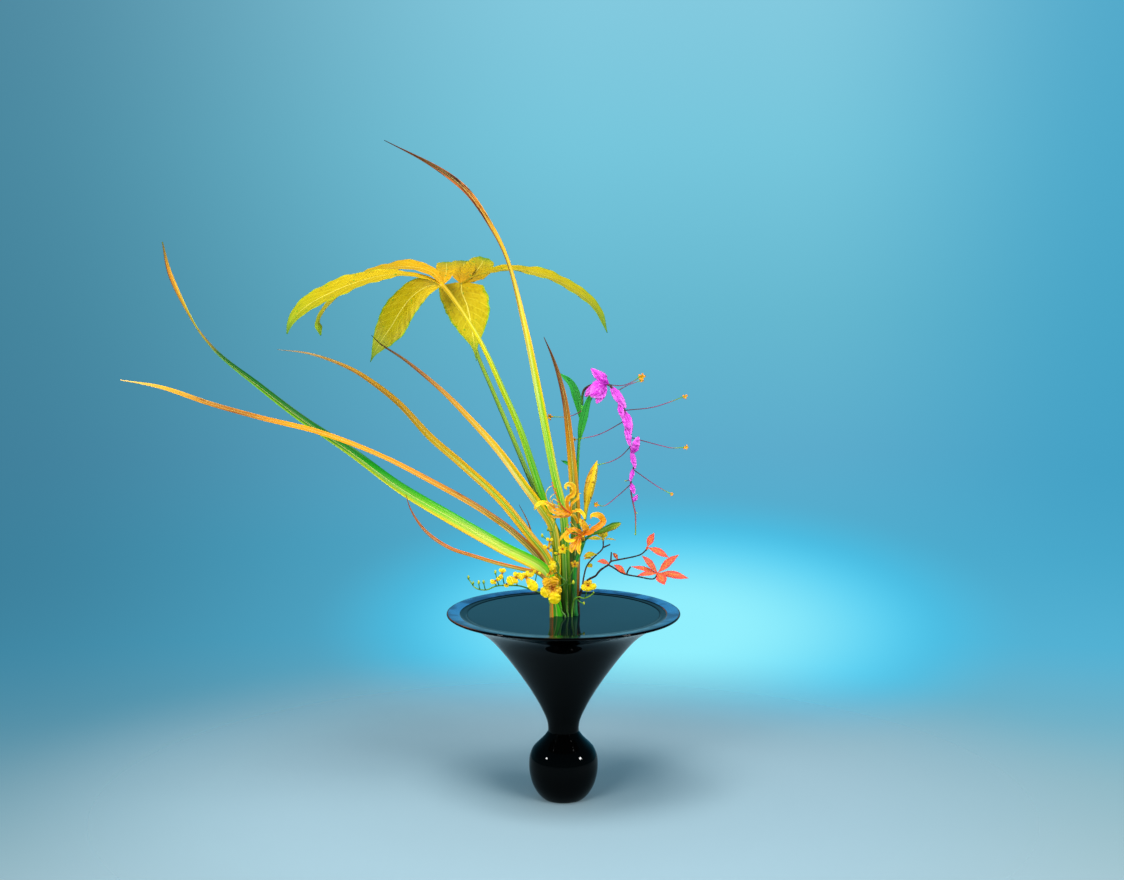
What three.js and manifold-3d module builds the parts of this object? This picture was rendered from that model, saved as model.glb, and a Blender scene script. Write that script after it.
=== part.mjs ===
// Ikebana arrangement of leaves and flowers in a black pedestal vase.
// Millimetres, +Z up. The origin is the middle of the vase's flat foot, and -Y is the front.

import * as THREE from 'three';
import { mergeVertices } from 'three/addons/utils/BufferGeometryUtils.js';
import Module from 'manifold-3d';

const wasm = await Module();
wasm.setup();

// Driving dimensions of the vase
const rimRadius = 150;
const vaseHeight = 247.3;
const footRadius = 24;
const ballRadius = 44.6;
const neckRadius = 19.9;
const basinFloor = 174;
const basinFloorRadius = 47;
const shelfLevel = 245.3;
const waterLevel = 244.7;
const waterRadius = 123.3;
const vaseSides = 32;

// Driving dimensions of the pin holder
const holderRadius = 34;
const holderThickness = 8;
const pinHeight = 13;
const pinRadius = 0.9;
const pinSpacing = 7.4;
const pinMargin = 3;
const pinRoom = 0.5;

// Clearances between pieces that touch, and the least width of a tip
const seatGap = 0.3;
const holeGap = 0.45;
const wallGap = 0.5;
const tipWidth = 1;
const leafThickness = 0.9;
const petalThickness = 0.7;
const scrapVolume = 1;
const joinTolerance = 0.2;

const stemFoot = basinFloor + seatGap + holderThickness + seatGap;
const bladeFootDepth = 2.4;

const towardFront = [0, -1, 0];
const degree = Math.PI / 180;

// Colours of the pieces, with their roughness
const finishes = {
  blackGlass: [0x08090b, 0.08],
  darkWater: [0x245160, 0.05],
  brass: [0xb08d4a, 0.35],
  leafGreen: [0x8cc02a, 0.45],
  leafOlive: [0xacb00a, 0.45],
  leafOrange: [0xc07a12, 0.5],
  leafRust: [0xa04a14, 0.5],
  leafYellow: [0xcfc008, 0.5],
  stemGreen: [0x2f8a26, 0.45],
  magenta: [0xd63acb, 0.5],
  lilyYellow: [0xe8b010, 0.45],
  lilyOrange: [0xe09008, 0.45],
  budGreen: [0x6c8f12, 0.45],
  orchidYellow: [0xecd50a, 0.45],
  barkBrown: [0x3a2018, 0.7],
  coral: [0xe8503c, 0.5],
  leafLime: [0xc0be0b, 0.5],
};

// Shared tools

// Value at t of a list of [t, value] stations, a straight line between them.
// A plain value holds everywhere, and a value may be a number or a list of numbers.
function valueAt(stations, t) {
  if (!Array.isArray(stations) || !Array.isArray(stations[0])) return stations;
  const next = stations.findIndex(([place]) => place >= t);
  if (next === 0) return stations[0][1];
  if (next < 0) return stations[stations.length - 1][1];
  const [t0, before] = stations[next - 1];
  const [t1, after] = stations[next];
  const share = (t - t0) / (t1 - t0);
  if (Array.isArray(before)) return before.map((value, i) => value + (after[i] - value) * share);
  return before + (after - before) * share;
}

function partWay(start, end, share) {
  return start.map((value, i) => value + (end[i] - value) * share);
}

function smoothRoute(points) {
  const corners = points.map((point) => new THREE.Vector3(...point));
  return new THREE.CatmullRomCurve3(corners, false, 'centripetal');
}

// The place on a rod's middle line that lies nearest to a point. A rod is straight between its steps.
function nearestOn({ points, steps }, place) {
  const target = new THREE.Vector3(...place);
  const rings = smoothRoute(points).getSpacedPoints(steps);
  return rings.slice(1)
    .map((ring, i) => new THREE.Line3(rings[i], ring).closestPointToPoint(target, true, new THREE.Vector3()))
    .reduce((best, point) => (point.distanceTo(target) < best.distanceTo(target) ? point : best))
    .toArray();
}

function meshOf(positions, indices) {
  const geometry = new THREE.BufferGeometry();
  geometry.setAttribute('position', new THREE.Float32BufferAttribute(positions, 3));
  geometry.setIndex(indices);
  return geometry;
}

// A blade, petal or leaflet: a thin strip along a route, folded to a V along its middle.
// Its face looks along "face", turned about the route by "turn" degrees. Both faces are
// split into triangles alike, so a waved blade keeps its thickness.
function blade(shape) {
  const { points, width, thickness = leafThickness, fold = 0.2, face = towardFront, turn = 0,
    steps = 20, columns = 3, wave = 0, waves = 0, grow = 0 } = shape;
  const route = smoothRoute(points);
  const positions = [];
  const middle = (columns - 1) / 2;
  for (let step = 0; step <= steps; step++) {
    const t = step / steps;
    const place = route.getPointAt(t);
    const along = route.getTangentAt(t);
    const normal = new THREE.Vector3(...valueAt(face, t)).projectOnPlane(along).normalize();
    normal.applyAxisAngle(along, valueAt(turn, t) * degree);
    const across = new THREE.Vector3().crossVectors(along, normal);
    const half = Math.max(valueAt(width, t), tipWidth) / 2 + grow;
    const depth = valueAt(thickness, t) / 2 + grow;
    for (const side of [depth, -depth]) {
      for (let column = 0; column < columns; column++) {
        const share = (column - middle) / middle;
        const ripple = wave * share * share * Math.sin(2 * Math.PI * waves * t + (share > 0 ? 0 : 2));
        const rise = fold * half * Math.abs(share) + ripple * Math.sin(Math.PI * t);
        const corner = place.clone().addScaledVector(across, share * half);
        corner.addScaledVector(normal, rise + side);
        positions.push(corner.x, corner.y, corner.z);
      }
    }
  }
  const front = (step, column) => step * 2 * columns + column;
  const back = (step, column) => front(step, column) + columns;
  const last = columns - 1;
  const indices = [];
  for (let step = 0; step < steps; step++) {
    const next = step + 1;
    for (let column = 0; column < last; column++) {
      const right = column + 1;
      indices.push(front(step, column), front(step, right), front(next, right));
      indices.push(front(step, column), front(next, right), front(next, column));
      indices.push(back(step, column), back(next, right), back(step, right));
      indices.push(back(step, column), back(next, column), back(next, right));
    }
    indices.push(front(step, 0), front(next, 0), back(next, 0));
    indices.push(front(step, 0), back(next, 0), back(step, 0));
    indices.push(front(step, last), back(next, last), front(next, last));
    indices.push(front(step, last), back(step, last), back(next, last));
  }
  for (let column = 0; column < last; column++) {
    const right = column + 1;
    indices.push(front(0, column), back(0, column), back(0, right));
    indices.push(front(0, column), back(0, right), front(0, right));
    indices.push(front(steps, column), back(steps, right), back(steps, column));
    indices.push(front(steps, column), front(steps, right), back(steps, right));
  }
  return meshOf(positions, indices);
}

// A stem, twig, thread or bud: a round rod along a route, with its radius at stations.
function rod({ points, radius, sides = 6, steps = 12, grow = 0 }) {
  const route = smoothRoute(points);
  const frames = route.computeFrenetFrames(steps, false);
  const positions = [];
  for (let step = 0; step <= steps; step++) {
    const place = route.getPointAt(step / steps);
    const reach = valueAt(radius, step / steps) + grow;
    for (let side = 0; side < sides; side++) {
      const angle = (side / sides) * 2 * Math.PI;
      const corner = place.clone();
      corner.addScaledVector(frames.normals[step], Math.cos(angle) * reach);
      corner.addScaledVector(frames.binormals[step], Math.sin(angle) * reach);
      positions.push(corner.x, corner.y, corner.z);
    }
  }
  const indices = [];
  for (let step = 0; step < steps; step++) {
    for (let side = 0; side < sides; side++) {
      const a = step * sides + side;
      const b = step * sides + ((side + 1) % sides);
      indices.push(a, b, b + sides, a, b + sides, a + sides);
    }
  }
  const top = steps * sides;
  for (let side = 1; side < sides - 1; side++) {
    indices.push(0, side + 1, side, top, top + side, top + side + 1);
  }
  return meshOf(positions, indices);
}

// A solid of revolution about the vase's axis, from [radius, height] points.
function turned(outline, sides) {
  const profile = outline.map(([radius, height]) => new THREE.Vector2(radius, height));
  return new THREE.LatheGeometry(profile, sides).rotateX(Math.PI / 2);
}

// Solids for joining and cutting
function toSolid(geometry) {
  const bare = geometry.clone();
  bare.deleteAttribute('normal');
  bare.deleteAttribute('uv');
  const welded = mergeVertices(bare, 1e-4);
  const corners = welded.index.array;
  const whole = [];
  for (let i = 0; i < corners.length; i += 3) {
    const [a, b, c] = [corners[i], corners[i + 1], corners[i + 2]];
    if (a !== b && b !== c && c !== a) whole.push(a, b, c);
  }
  const mesh = new wasm.Mesh({
    numProp: 3,
    vertProperties: new Float32Array(welded.attributes.position.array),
    triVerts: new Uint32Array(whole),
  });
  const solid = new wasm.Manifold(mesh);
  return solid.volume() < 0 ? new wasm.Manifold(flipped(mesh)) : solid;
}

function flipped(mesh) {
  const triVerts = mesh.triVerts.slice();
  for (let i = 0; i < triVerts.length; i += 3) {
    [triVerts[i], triVerts[i + 1]] = [triVerts[i + 1], triVerts[i]];
  }
  return new wasm.Mesh({ numProp: 3, vertProperties: mesh.vertProperties, triVerts });
}

function toGeometry(solid) {
  const mesh = solid.simplify(joinTolerance).getMesh();
  return meshOf(Array.from(mesh.vertProperties), Array.from(mesh.triVerts));
}

// The separate skins of a geometry: each as its triangles' corners and the volume inside.
function skinsOf(geometry) {
  const corners = geometry.index.array;
  const places = geometry.attributes.position;
  const owner = Array.from({ length: places.count }, (_, i) => i);
  const ownerOf = (i) => {
    let root = i;
    while (owner[root] !== root) root = owner[root];
    owner[i] = root;
    return root;
  };
  for (let i = 0; i < corners.length; i += 3) {
    owner[ownerOf(corners[i + 1])] = ownerOf(corners[i]);
    owner[ownerOf(corners[i + 2])] = ownerOf(corners[i]);
  }
  const skins = new Map();
  const [a, b, c] = [new THREE.Vector3(), new THREE.Vector3(), new THREE.Vector3()];
  for (let i = 0; i < corners.length; i += 3) {
    const key = ownerOf(corners[i]);
    if (!skins.has(key)) skins.set(key, { triangles: [], volume: 0 });
    const skin = skins.get(key);
    skin.triangles.push(corners[i], corners[i + 1], corners[i + 2]);
    [a, b, c].forEach((point, k) => point.fromBufferAttribute(places, corners[i + k]));
    skin.volume += a.dot(b.cross(c)) / 6;
  }
  return [...skins.values()].sort((one, other) => other.volume - one.volume);
}

// One body from several: a hollow that the join seals is filled, and a loose scrap is dropped.
function fuse(...pieces) {
  const joined = toGeometry(wasm.Manifold.union(pieces.flat().map(toSolid)));
  const [body, ...others] = skinsOf(joined);
  const loose = others.filter((skin) => skin.volume > scrapVolume);
  if (loose.length > 0) {
    const places = loose.map((skin) => {
      const corner = new THREE.Vector3().fromBufferAttribute(joined.attributes.position, skin.triangles[0]);
      return corner.round().toArray().join(' ');
    });
    throw new Error(`pieces that touch nothing: ${places.join(', ')}`);
  }
  return meshOf(Array.from(joined.attributes.position.array), body.triangles);
}

// Pieces of the arrangement
const arrangement = new THREE.Group();
arrangement.name = 'ikebana_arrangement';

function addPiece(name, finish, geometry) {
  const [color, roughness] = finishes[finish];
  const metalness = finish === 'brass' ? 1 : 0;
  const mesh = new THREE.Mesh(geometry, new THREE.MeshStandardMaterial({ color, roughness, metalness }));
  mesh.name = name;
  arrangement.add(mesh);
}

// Stems that stand on the pin holder, kept with the holes that they leave in the water
const stemFeet = [];
const stemHoles = [];

function standing(make, shape) {
  const [x, y] = shape.points[0];
  const reach = make === blade ? valueAt(shape.width, 0) / 2 : valueAt(shape.radius, 0);
  const depth = make === blade ? bladeFootDepth : reach;
  stemFeet.push({ x, y, reach, depth });
  stemHoles.push(make({ ...shape, grow: holeGap }));
  return make(shape);
}

// Foot of a stem: upright from the pin holder to just over the water.
function footing(x, y) {
  return [[x, y, stemFoot], [x, y, waterLevel + 2]];
}

// The vase: a ball foot, a narrow neck, a trumpet basin, and a broad flange with a shelf inside it
const outsideWall = [
  [footRadius + 1, 0.5], [27.8, 2.6], [33.8, 9.1], [39.5, 19.1], [44.2, 37], [ballRadius, 49.6], [43.3, 59.4],
  [39.1, 68.8], [31.9, 76.5], [24.4, 84.2], [neckRadius + 0.2, 91], [neckRadius, 95], [28, 120],
  [52.4, 161.1], [76.8, 194.3], [99, 218.6], [121, 233.4], [145.6, 243],
];
const basinWall = [
  [122.8, 243.6], [111.2, 232.2], [98.8, 222.8], [84, 209.5], [57, 180.5], [52, 176.5],
  [basinFloorRadius, basinFloor],
];
addPiece('vase', 'blackGlass', turned([
  [0, 0], [footRadius, 0], ...outsideWall,
  [149.5, 244.8], [rimRadius, 246], [rimRadius - 1.6, vaseHeight],
  [133, 245.9], [132.2, shelfLevel], [124.6, shelfLevel], ...basinWall, [0, basinFloor],
], vaseSides));

// Long strap leaves, named by where they reach
const strapLeaves = {
  tall: {
    finish: 'leafOlive',
    points: [...footing(6, -1.5), [3.6, -1, 300], [-0.6, 0, 377], [-12, 2, 428], [-30, 8, 520],
      [-50, 16, 615], [-74, 26, 703], [-97, 33, 747], [-119, 40, 779], [-138, 45, 797],
      [-170, 50, 818.5], [-228, 60, 847]],
    width: [[0, 10.5], [0.33, 10.5], [0.46, 10], [0.7, 8], [0.86, 8.5], [0.92, 6], [1, 1]],
    turn: [[0, 0], [0.4, 8], [0.58, 35], [0.7, 58], [0.8, 35], [0.86, 5], [0.92, -45], [1, -55]],
  },
  long_left: {
    finish: 'leafGreen',
    points: [...footing(-8.5, -13.5), [-13, -13.5, 272], [-23.6, -14, 303], [-80.6, -20, 337],
      [-143, -28, 375], [-206, -35, 414], [-267, -42, 461], [-329, -50, 505], [-377, -55, 544],
      [-432, -62, 591], [-460, -66, 632], [-483, -70, 685], [-491, -72, 726]],
    width: [[0, 13], [0.16, 16], [0.34, 16], [0.6, 13], [0.83, 9.5], [0.94, 8.5], [1, 1]],
    turn: [[0, 0], [0.34, 10], [0.45, 35], [0.6, 50], [0.72, 55], [0.83, 84], [0.9, 130], [0.95, 160],
      [1, 180]],
  },
  far_left: {
    finish: 'leafOrange',
    points: [...footing(-11, -7.5), [-18, -7.5, 285], [-30, -8, 317], [-62, -14, 352], [-106, -24, 386],
      [-168, -38, 424], [-229, -52, 458], [-302, -66, 489], [-375, -76, 509], [-435, -84, 527.5],
      [-495, -90, 549], [-543, -94, 558.5]],
    width: [[0, 8], [0.19, 9], [0.33, 8], [0.54, 7.4], [0.75, 7.4], [0.92, 6], [1, 1]],
    turn: [[0, 0], [0.33, 22], [0.54, 52], [0.65, 38], [0.75, 45], [1, 30]],
  },
  middle_left: {
    finish: 'leafOlive',
    points: [...footing(-9, -1.5), [-18.5, -1, 312.7], [-43, 2, 346], [-81, 8, 392], [-132, 16, 438],
      [-171, 22, 471], [-209, 28, 511.5], [-241, 33, 537], [-273.5, 38, 557], [-325, 46, 575],
      [-368, 54, 580]],
    width: [[0, 11], [0.3, 11.5], [0.6, 9.5], [0.78, 7.5], [0.92, 3.5], [1, 1]],
    turn: [[0, 0], [0.3, 6], [0.6, 25], [0.8, 40], [1, 55]],
  },
  upper_left: {
    finish: 'leafOrange',
    points: [...footing(-9, 3), [-13, 1, 354], [-30, -1, 384], [-55, -2, 419],
      [-81, -6, 455], [-118, -12, 498], [-155, -18, 537], [-199, -25, 575], [-229, -29, 596],
      [-240, -30, 607]],
    width: [[0, 11], [0.35, 11.5], [0.6, 9.5], [0.85, 6], [0.95, 3], [1, 1]],
    turn: [[0, 0], [0.35, 5], [0.6, 30], [0.85, 45], [1, 60]],
  },
  low_brown: {
    finish: 'leafRust',
    points: [...footing(-15.5, -20), [-18, -20.5, 285], [-31, -22, 301.5], [-55, -26, 309], [-80, -31, 316],
      [-118, -38, 329], [-143, -44, 339], [-168, -50, 357], [-182, -54, 374], [-192, -57, 393],
      [-197, -60, 411]],
    width: [[0, 4.6], [0.5, 5.2], [0.8, 4.6], [1, 1]],
    turn: [[0, 0], [0.4, 20], [0.7, 35], [0.9, 10], [1, 0]],
  },
  right: {
    finish: 'leafOrange',
    points: [...footing(14, 5), [14.8, 6, 314], [16, 4, 366], [12, 2, 431], [7, 0, 483], [2, -2, 522],
      [-5.7, -4, 554], [-14.5, -6, 579.6], [-24.6, -8, 602.6]],
    width: [[0, 13], [0.4, 13.5], [0.6, 11.5], [0.85, 7], [0.94, 4], [1, 1]],
    turn: [[0, 0], [0.6, -8], [0.85, -25], [1, -40]],
  },
  tendril: {
    finish: 'leafRust',
    points: [...footing(-9, 9.5), [-22.4, 8, 313.5], [-39, 12, 343], [-45.5, 14, 362], [-52, 15, 375],
      [-57, 16, 384]],
    width: [[0, 3], [0.7, 3.4], [1, 1]],
    turn: 0,
  },
};
for (const [name, { finish, ...shape }] of Object.entries(strapLeaves)) {
  const steps = name === 'tendril' ? 8 : 16;
  addPiece(`strap_leaf_${name}`, finish, standing(blade, { ...shape, fold: 0.36, steps }));
}

// Palmate leaves: a stout stalk that carries pointed leaflets round its top
function palmateLeaf(name, stalk, leaflets) {
  const parts = leaflets.map((leaflet) => blade({
    columns: 5, waves: 4, wave: 1.1, fold: 0.16, steps: 9, thickness: 0.8, ...leaflet,
  }));
  addPiece(name, 'leafYellow', fuse(standing(rod, stalk), parts));
}

palmateLeaf('palmate_leaf_front', {
  points: [...footing(1.5, 8), [-4, 8, 333], [-17, 8, 366], [-34, 4, 418], [-55, -6, 484],
    [-74, -13, 530], [-105, -24, 600], [-141, -35, 658], [-153, -38, 673]],
  radius: [[0, 4.6], [0.25, 5.6], [0.45, 4.8], [0.7, 3.5], [0.9, 2.4], [1, 3]],
  sides: 6, steps: 11,
}, [
  {
    points: [[-151, -38, 671], [-172, -38, 680], [-198, -42, 684], [-225, -48, 682.5], [-261, -60, 673.5],
      [-277, -65, 667], [-303, -73, 655], [-323, -79, 641], [-335, -83, 626], [-339, -84, 614]],
    width: [[0, 3], [0.08, 7], [0.25, 18], [0.45, 38], [0.62, 43], [0.8, 36], [0.92, 16], [1, 1]],
    face: [-0.1, -0.4, 0.9],
  },
  {
    points: [[-151, -37, 672], [-161, -34, 684], [-174, -28, 689.5], [-202, -14, 691.5], [-227, -4, 686],
      [-259, 8, 671.8], [-288, 16, 650], [-304, 19, 633], [-311, 20, 619], [-308.6, 21, 601.6]],
    width: [[0, 3], [0.06, 14], [0.2, 30], [0.45, 42], [0.62, 40], [0.82, 27], [0.93, 14], [1, 1]],
    face: [-0.2, -0.24, 0.95],
  },
  {
    points: [[-151, -38, 671], [-170, -36, 668], [-189, -32, 655], [-204, -26, 636], [-216, -20, 616.5],
      [-225.5, -14, 603], [-237.5, -9, 584], [-243.5, -6, 570.7]],
    width: [[0, 4], [0.07, 17], [0.2, 33], [0.42, 42], [0.6, 43], [0.74, 32], [0.86, 15], [0.93, 5], [1, 1]],
    face: [-0.25, -0.9, 0.3],
  },
  {
    points: [[-149, -36, 672], [-147, -12, 683], [-148, 20, 690], [-150, 46, 693]],
    width: [[0, 3], [0.15, 16], [0.45, 27], [0.85, 24], [1, 5]], face: [0, -0.45, 1], columns: 3, steps: 6,
  },
]);

palmateLeaf('palmate_leaf_back', {
  points: [...footing(0, 17), [-10, 19, 332], [-26, 22, 377], [-40, 23, 409], [-56, 26, 447],
    [-75, 32, 492], [-94, 38, 536], [-110, 43, 574], [-124, 50, 625], [-131, 55, 665]],
  radius: [[0, 3.4], [0.5, 3.1], [0.9, 2.3], [1, 3]],
  sides: 6, steps: 11,
}, [
  {
    points: [[-131, 54, 665], [-107, 56, 677], [-68, 56, 683], [-24, 54, 675], [15, 50, 656], [43, 46, 632],
      [56, 42, 603]],
    width: [[0, 3], [0.1, 8], [0.25, 26], [0.5, 40], [0.75, 34], [0.92, 12], [1, 1]],
    face: [0.15, -0.22, 0.95],
  },
  {
    points: [[-131, 55, 666], [-130, 42, 655.5], [-122.5, 26, 639], [-118, 14, 621], [-114.3, 2, 602.8],
      [-111.6, -5, 587], [-109.8, -8, 572]],
    width: [[0, 10], [0.07, 56], [0.2, 58], [0.36, 58], [0.52, 50], [0.68, 32], [0.82, 11], [0.9, 4], [1, 1]],
    face: [0, -0.9, 0.45],
  },
  {
    points: [[-131, 56, 666], [-130.5, 84, 677], [-130, 112, 685], [-129, 138, 688]],
    width: [[0, 6], [0.15, 24], [0.45, 34], [0.85, 30], [1, 10]], face: [0, -0.5, 1], columns: 3, steps: 6,
  },
  {
    points: [[-130, 56, 666], [-117, 84, 674], [-108, 112, 684], [-104, 138, 692]],
    width: [[0, 6], [0.15, 26], [0.45, 38], [0.85, 30], [1, 12]], face: [0.2, -0.5, 1], columns: 3, steps: 6,
  },
]);

// Ginger flower: a leafy green stem that carries a hanging spray of magenta bracts
const gingerTop = [23.6, 20, 512.5];
addPiece('ginger_stem', 'stemGreen', fuse(
  standing(rod, {
    points: [...footing(10, 13), [13.6, 14, 260], [16, 16, 338], [17.3, 17, 390], [17.9, 18, 433],
      [21, 19, 480.5], gingerTop],
    radius: [[0, 2.2], [1, 1.8]], sides: 6, steps: 12,
  }),
  [
    { points: [[20.2, 19, 466], [22, 14, 480], [28, 6, 508], [36, 1, 534]], width: 11 },
    { points: [[22.6, 20.4, 492], [19, 26.5, 514], [10, 30, 539], [-7, 34, 553]], width: 11.5 },
    { points: [[17.8, 18, 428], [10, 21, 435], [-3, 26, 440]], width: 6 },
  ].map(({ points, width }) => blade({
    points, fold: 0.35, steps: 7,
    width: [[0, 3], [0.25, width * 0.8], [0.5, width], [0.8, width * 0.6], [1, 1]],
  })),
));

const rachis = {
  points: [
    [23.8, 19.9, 513.2], [24, 19.5, 524], [27, 18, 533], [36.3, 14, 539], [48.9, 9, 540.9], [59, 5, 539.5],
    [69.1, 2, 520], [76.2, 1, 511.2], [78.7, 0, 496], [84.5, 0, 463.9], [87.1, 0, 452.4], [89.5, 0, 438.2],
    [86.8, 0, 422.1], [85.6, 0, 413.7], [86.3, 0, 402.3], [88.4, 0, 390.4], [91.6, 0, 374.9],
    [92.2, 0, 347.5],
  ],
  radius: [[0, 1.7], [0.2, 1.5], [0.6, 1.3], [0.9, 0.9], [1, 0.8]], sides: 5, steps: 19,
};
// Bracts as [base, tip, width, how far the middle stands out to the front]
const bracts = [
  [[58.8, 9, 541.4], [34.8, 4, 561.3], 12, 4], [[54, 10, 540.8], [43.2, 13, 557], 14, 3],
  [[46.4, 13, 537.8], [27.3, 9, 525], 13, 2], [[54, 9, 540.9], [33.5, -6, 527.4], 25, 8],
  [[52.7, 7, 537.3], [41.8, -4, 517.6], 13, 4], [[59.6, 5, 540.1], [79.2, -2, 511.6], 12, 4],
  [[69.7, 1, 517.6], [76, -4, 496.5], 8, 3], [[80, 0, 510.1], [85.6, -5, 478.8], 13, 4],
  [[80.6, 0, 490.9], [84.4, -4, 463.2], 9, 3], [[90.3, 0, 451.1], [95.1, -5, 475.6], 11, 3],
  [[83.3, 0, 456.2], [91.5, -3, 433.5], 7.5, 2], [[88.5, 0, 434.3], [84.6, -3, 417.4], 6, 2],
  [[86, 0, 415.6], [90.4, -3, 401.3], 7, 2], [[87.4, 0, 390.4], [94.3, -2, 400.1], 6, 1],
];
// Pedicels as their route, then the size of the flower at the end
const pedicels = [
  [[[51.4, 9, 538.8], [72.8, 2, 539.7], [85.2, -8, 544.9], [96.2, -18, 553.1]], 6],
  [[[71.6, 4, 532.9], [80.6, 8, 539], [98.8, 20, 544]], 3],
  [[[80.5, 1, 508.7], [111.6, -3, 512.4], [130.9, -7, 518.7], [152, -12, 527.6]], 4],
  [[[88.6, 0, 476.4], [125.1, 4, 462.3], [138.2, 6, 459.2], [154.8, 8, 459.8]], 4],
  [[[90.8, 0, 431.4], [119.8, -8, 411.7], [136.4, -14, 403.2]], 3],
  [[[76.8, 0, 494.3], [44.7, 8, 476.1], [14.7, 14, 468.9]], 3],
  [[[42.6, 10, 538], [30, 12, 512], [8.3, 18, 498.4], [-16, 24, 496.8]], 4.4],
  [[[84.8, 0, 461.6], [73.3, 8, 448.5], [60.5, 14, 440.4], [44.9, 20, 435.4]], 2.2],
  [[[85, 0, 414.3], [70.7, -4, 400.4], [51.1, -10, 387], [42.5, -13, 389.5]], 4.2],
  [[[87.2, 0, 418.9], [79.8, 7, 416.4]], 1.8],
];
function bract([base, tip, width, bulge]) {
  const root = nearestOn(rachis, base);
  const middle = partWay(root, tip, 0.5);
  middle[1] -= bulge;
  return blade({
    points: [root, middle, tip], thickness: petalThickness, fold: -0.3, steps: 3,
    width: [[0, 2], [0.33, width], [0.67, width * 0.9], [1, width * 0.35]],
  });
}
function gingerFlower([[start, ...onward], size]) {
  const [x, y, z] = onward[onward.length - 1];
  const away = Math.sign(x - start[0]) * size;
  return [
    rod({ points: [nearestOn(rachis, start), ...onward], radius: 0.6, sides: 3, steps: 3 }),
    rod({
      points: [[x - away * 0.5, y, z - 0.4], [x, y, z], [x + away, y, z + 0.6]],
      radius: [[0, 0.7], [0.3, size * 0.34], [0.75, size * 0.45], [1, 0.4]], sides: 4, steps: 3,
    }),
  ];
}
addPiece('ginger_spray', 'magenta', fuse(rod(rachis), bracts.map(bract), pedicels.flatMap(gingerFlower)));

// Spider lily: a bare green stalk with two open flowers and two buds at its head
const lilyHub = [24.8, -21, 343];
addPiece('lily_stalk', 'stemGreen', fuse(
  standing(rod, {
    points: [...footing(15, -9), [14.7, -10, 247], [13.4, -11, 278], [14.7, -14, 311],
      [21, -18, 331.6], lilyHub],
    radius: [[0, 4.4], [0.8, 3.6], [1, 3.4]], sides: 7, steps: 8,
  }),
  [[18.3, -30, 368], [25.6, -29.5, 346], [27, -23.6, 371.4], [36.2, -23.4, 352.6]].map((end) => {
    const middle = partWay(lilyHub, end, 0.5);
    middle[2] += 1;
    return rod({ points: [lilyHub, middle, end], radius: [[0, 2.2], [1, 1.5]], sides: 6, steps: 3 });
  }),
));

// A lily flower opens from its tube into narrow petals that curl back, with long stamens.
function lilyFlower({ tube, petals, stamens }) {
  const [nextToLast, centre] = tube.slice(-2);
  const root = partWay(nextToLast, centre, 0.7);
  return fuse(
    rod({ points: tube, radius: [[0, 1.6], [1, 2.8]], sides: 6, steps: 4 }),
    petals.map(({ points, width, face, steps = 5 }) => blade({
      points: [root, ...points], face, thickness: petalThickness, fold: 0.3, steps,
      width: [[0, width * 0.45], [0.5, width], [0.8, width * 0.8], [1, 1.2]],
    })),
    stamens.map((points) => rod({
      points: [root, ...points], radius: [[0, 0.6], [0.8, 0.5], [1, 0.8]], sides: 3, steps: 5,
    })),
  );
}
addPiece('lily_flower_upper', 'lilyYellow', lilyFlower({
  tube: [[18.1, -30.6, 368.6], [13.9, -34, 377.9], [9.2, -36, 381.7]],
  petals: [
    { points: [[6.8, -39, 385.6], [4.4, -43, 394.5], [5.1, -46, 403], [10.8, -47, 408.2], [13.1, -48, 414.8],
      [10.7, -50, 420.7], [5.1, -53, 422.1], [2.4, -55, 419.2], [4.4, -54, 415.1]],
    width: 7, face: [0.3, -1, 0], steps: 9 },
    { points: [[9.2, -38, 385.4], [10.1, -40, 394], [13.9, -41, 399], [18, -41, 402.2], [19.6, -40, 407.7],
      [22, -40, 408.5]], width: 3.4, face: [-0.3, -1, 0] },
    { points: [[2.8, -38, 383.8], [-10.1, -46, 389.3], [-18.8, -52, 396.8], [-27.5, -56, 399.2],
      [-33.8, -57, 395.5], [-36.3, -55, 389.9]], width: 7, face: [0, -0.7, 0.7], steps: 7 },
    { points: [[5.7, -40, 381.7], [-6, -49, 383.9], [-15.7, -56, 388.8], [-20.4, -60, 396.6],
      [-25, -60, 398.9]],
      width: 6, face: [0.2, -0.8, 0.6] },
    { points: [[10.8, -39, 383.9], [17.2, -43, 387.1], [22, -46, 386], [26, -48, 380.7], [26.3, -49, 376.8]],
      width: 5, face: [0, -0.8, 0.6] },
    { points: [[6, -38, 378.9], [-3.7, -44, 379.5], [-14.1, -49, 380.5], [-20.8, -50, 383.9]],
      width: 3.6, face: [0, -1, 0.2] },
  ],
  stamens: [
    [[-4, -46, 391], [-16, -54, 397], [-21, -58, 404], [-22, -61, 412], [-18, -63, 420], [-13, -63, 422]],
    [[-2, -48, 393], [-8, -56, 408], [-12, -60, 416], [-14, -63, 426]],
    [[-3, -47, 392], [-14, -56, 399], [-17, -60, 405], [-15, -62, 409], [-10, -63, 413]],
    [[-1, -47, 393], [-7, -54, 404], [-9, -58, 411], [-10, -61, 418]],
  ],
}));
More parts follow.
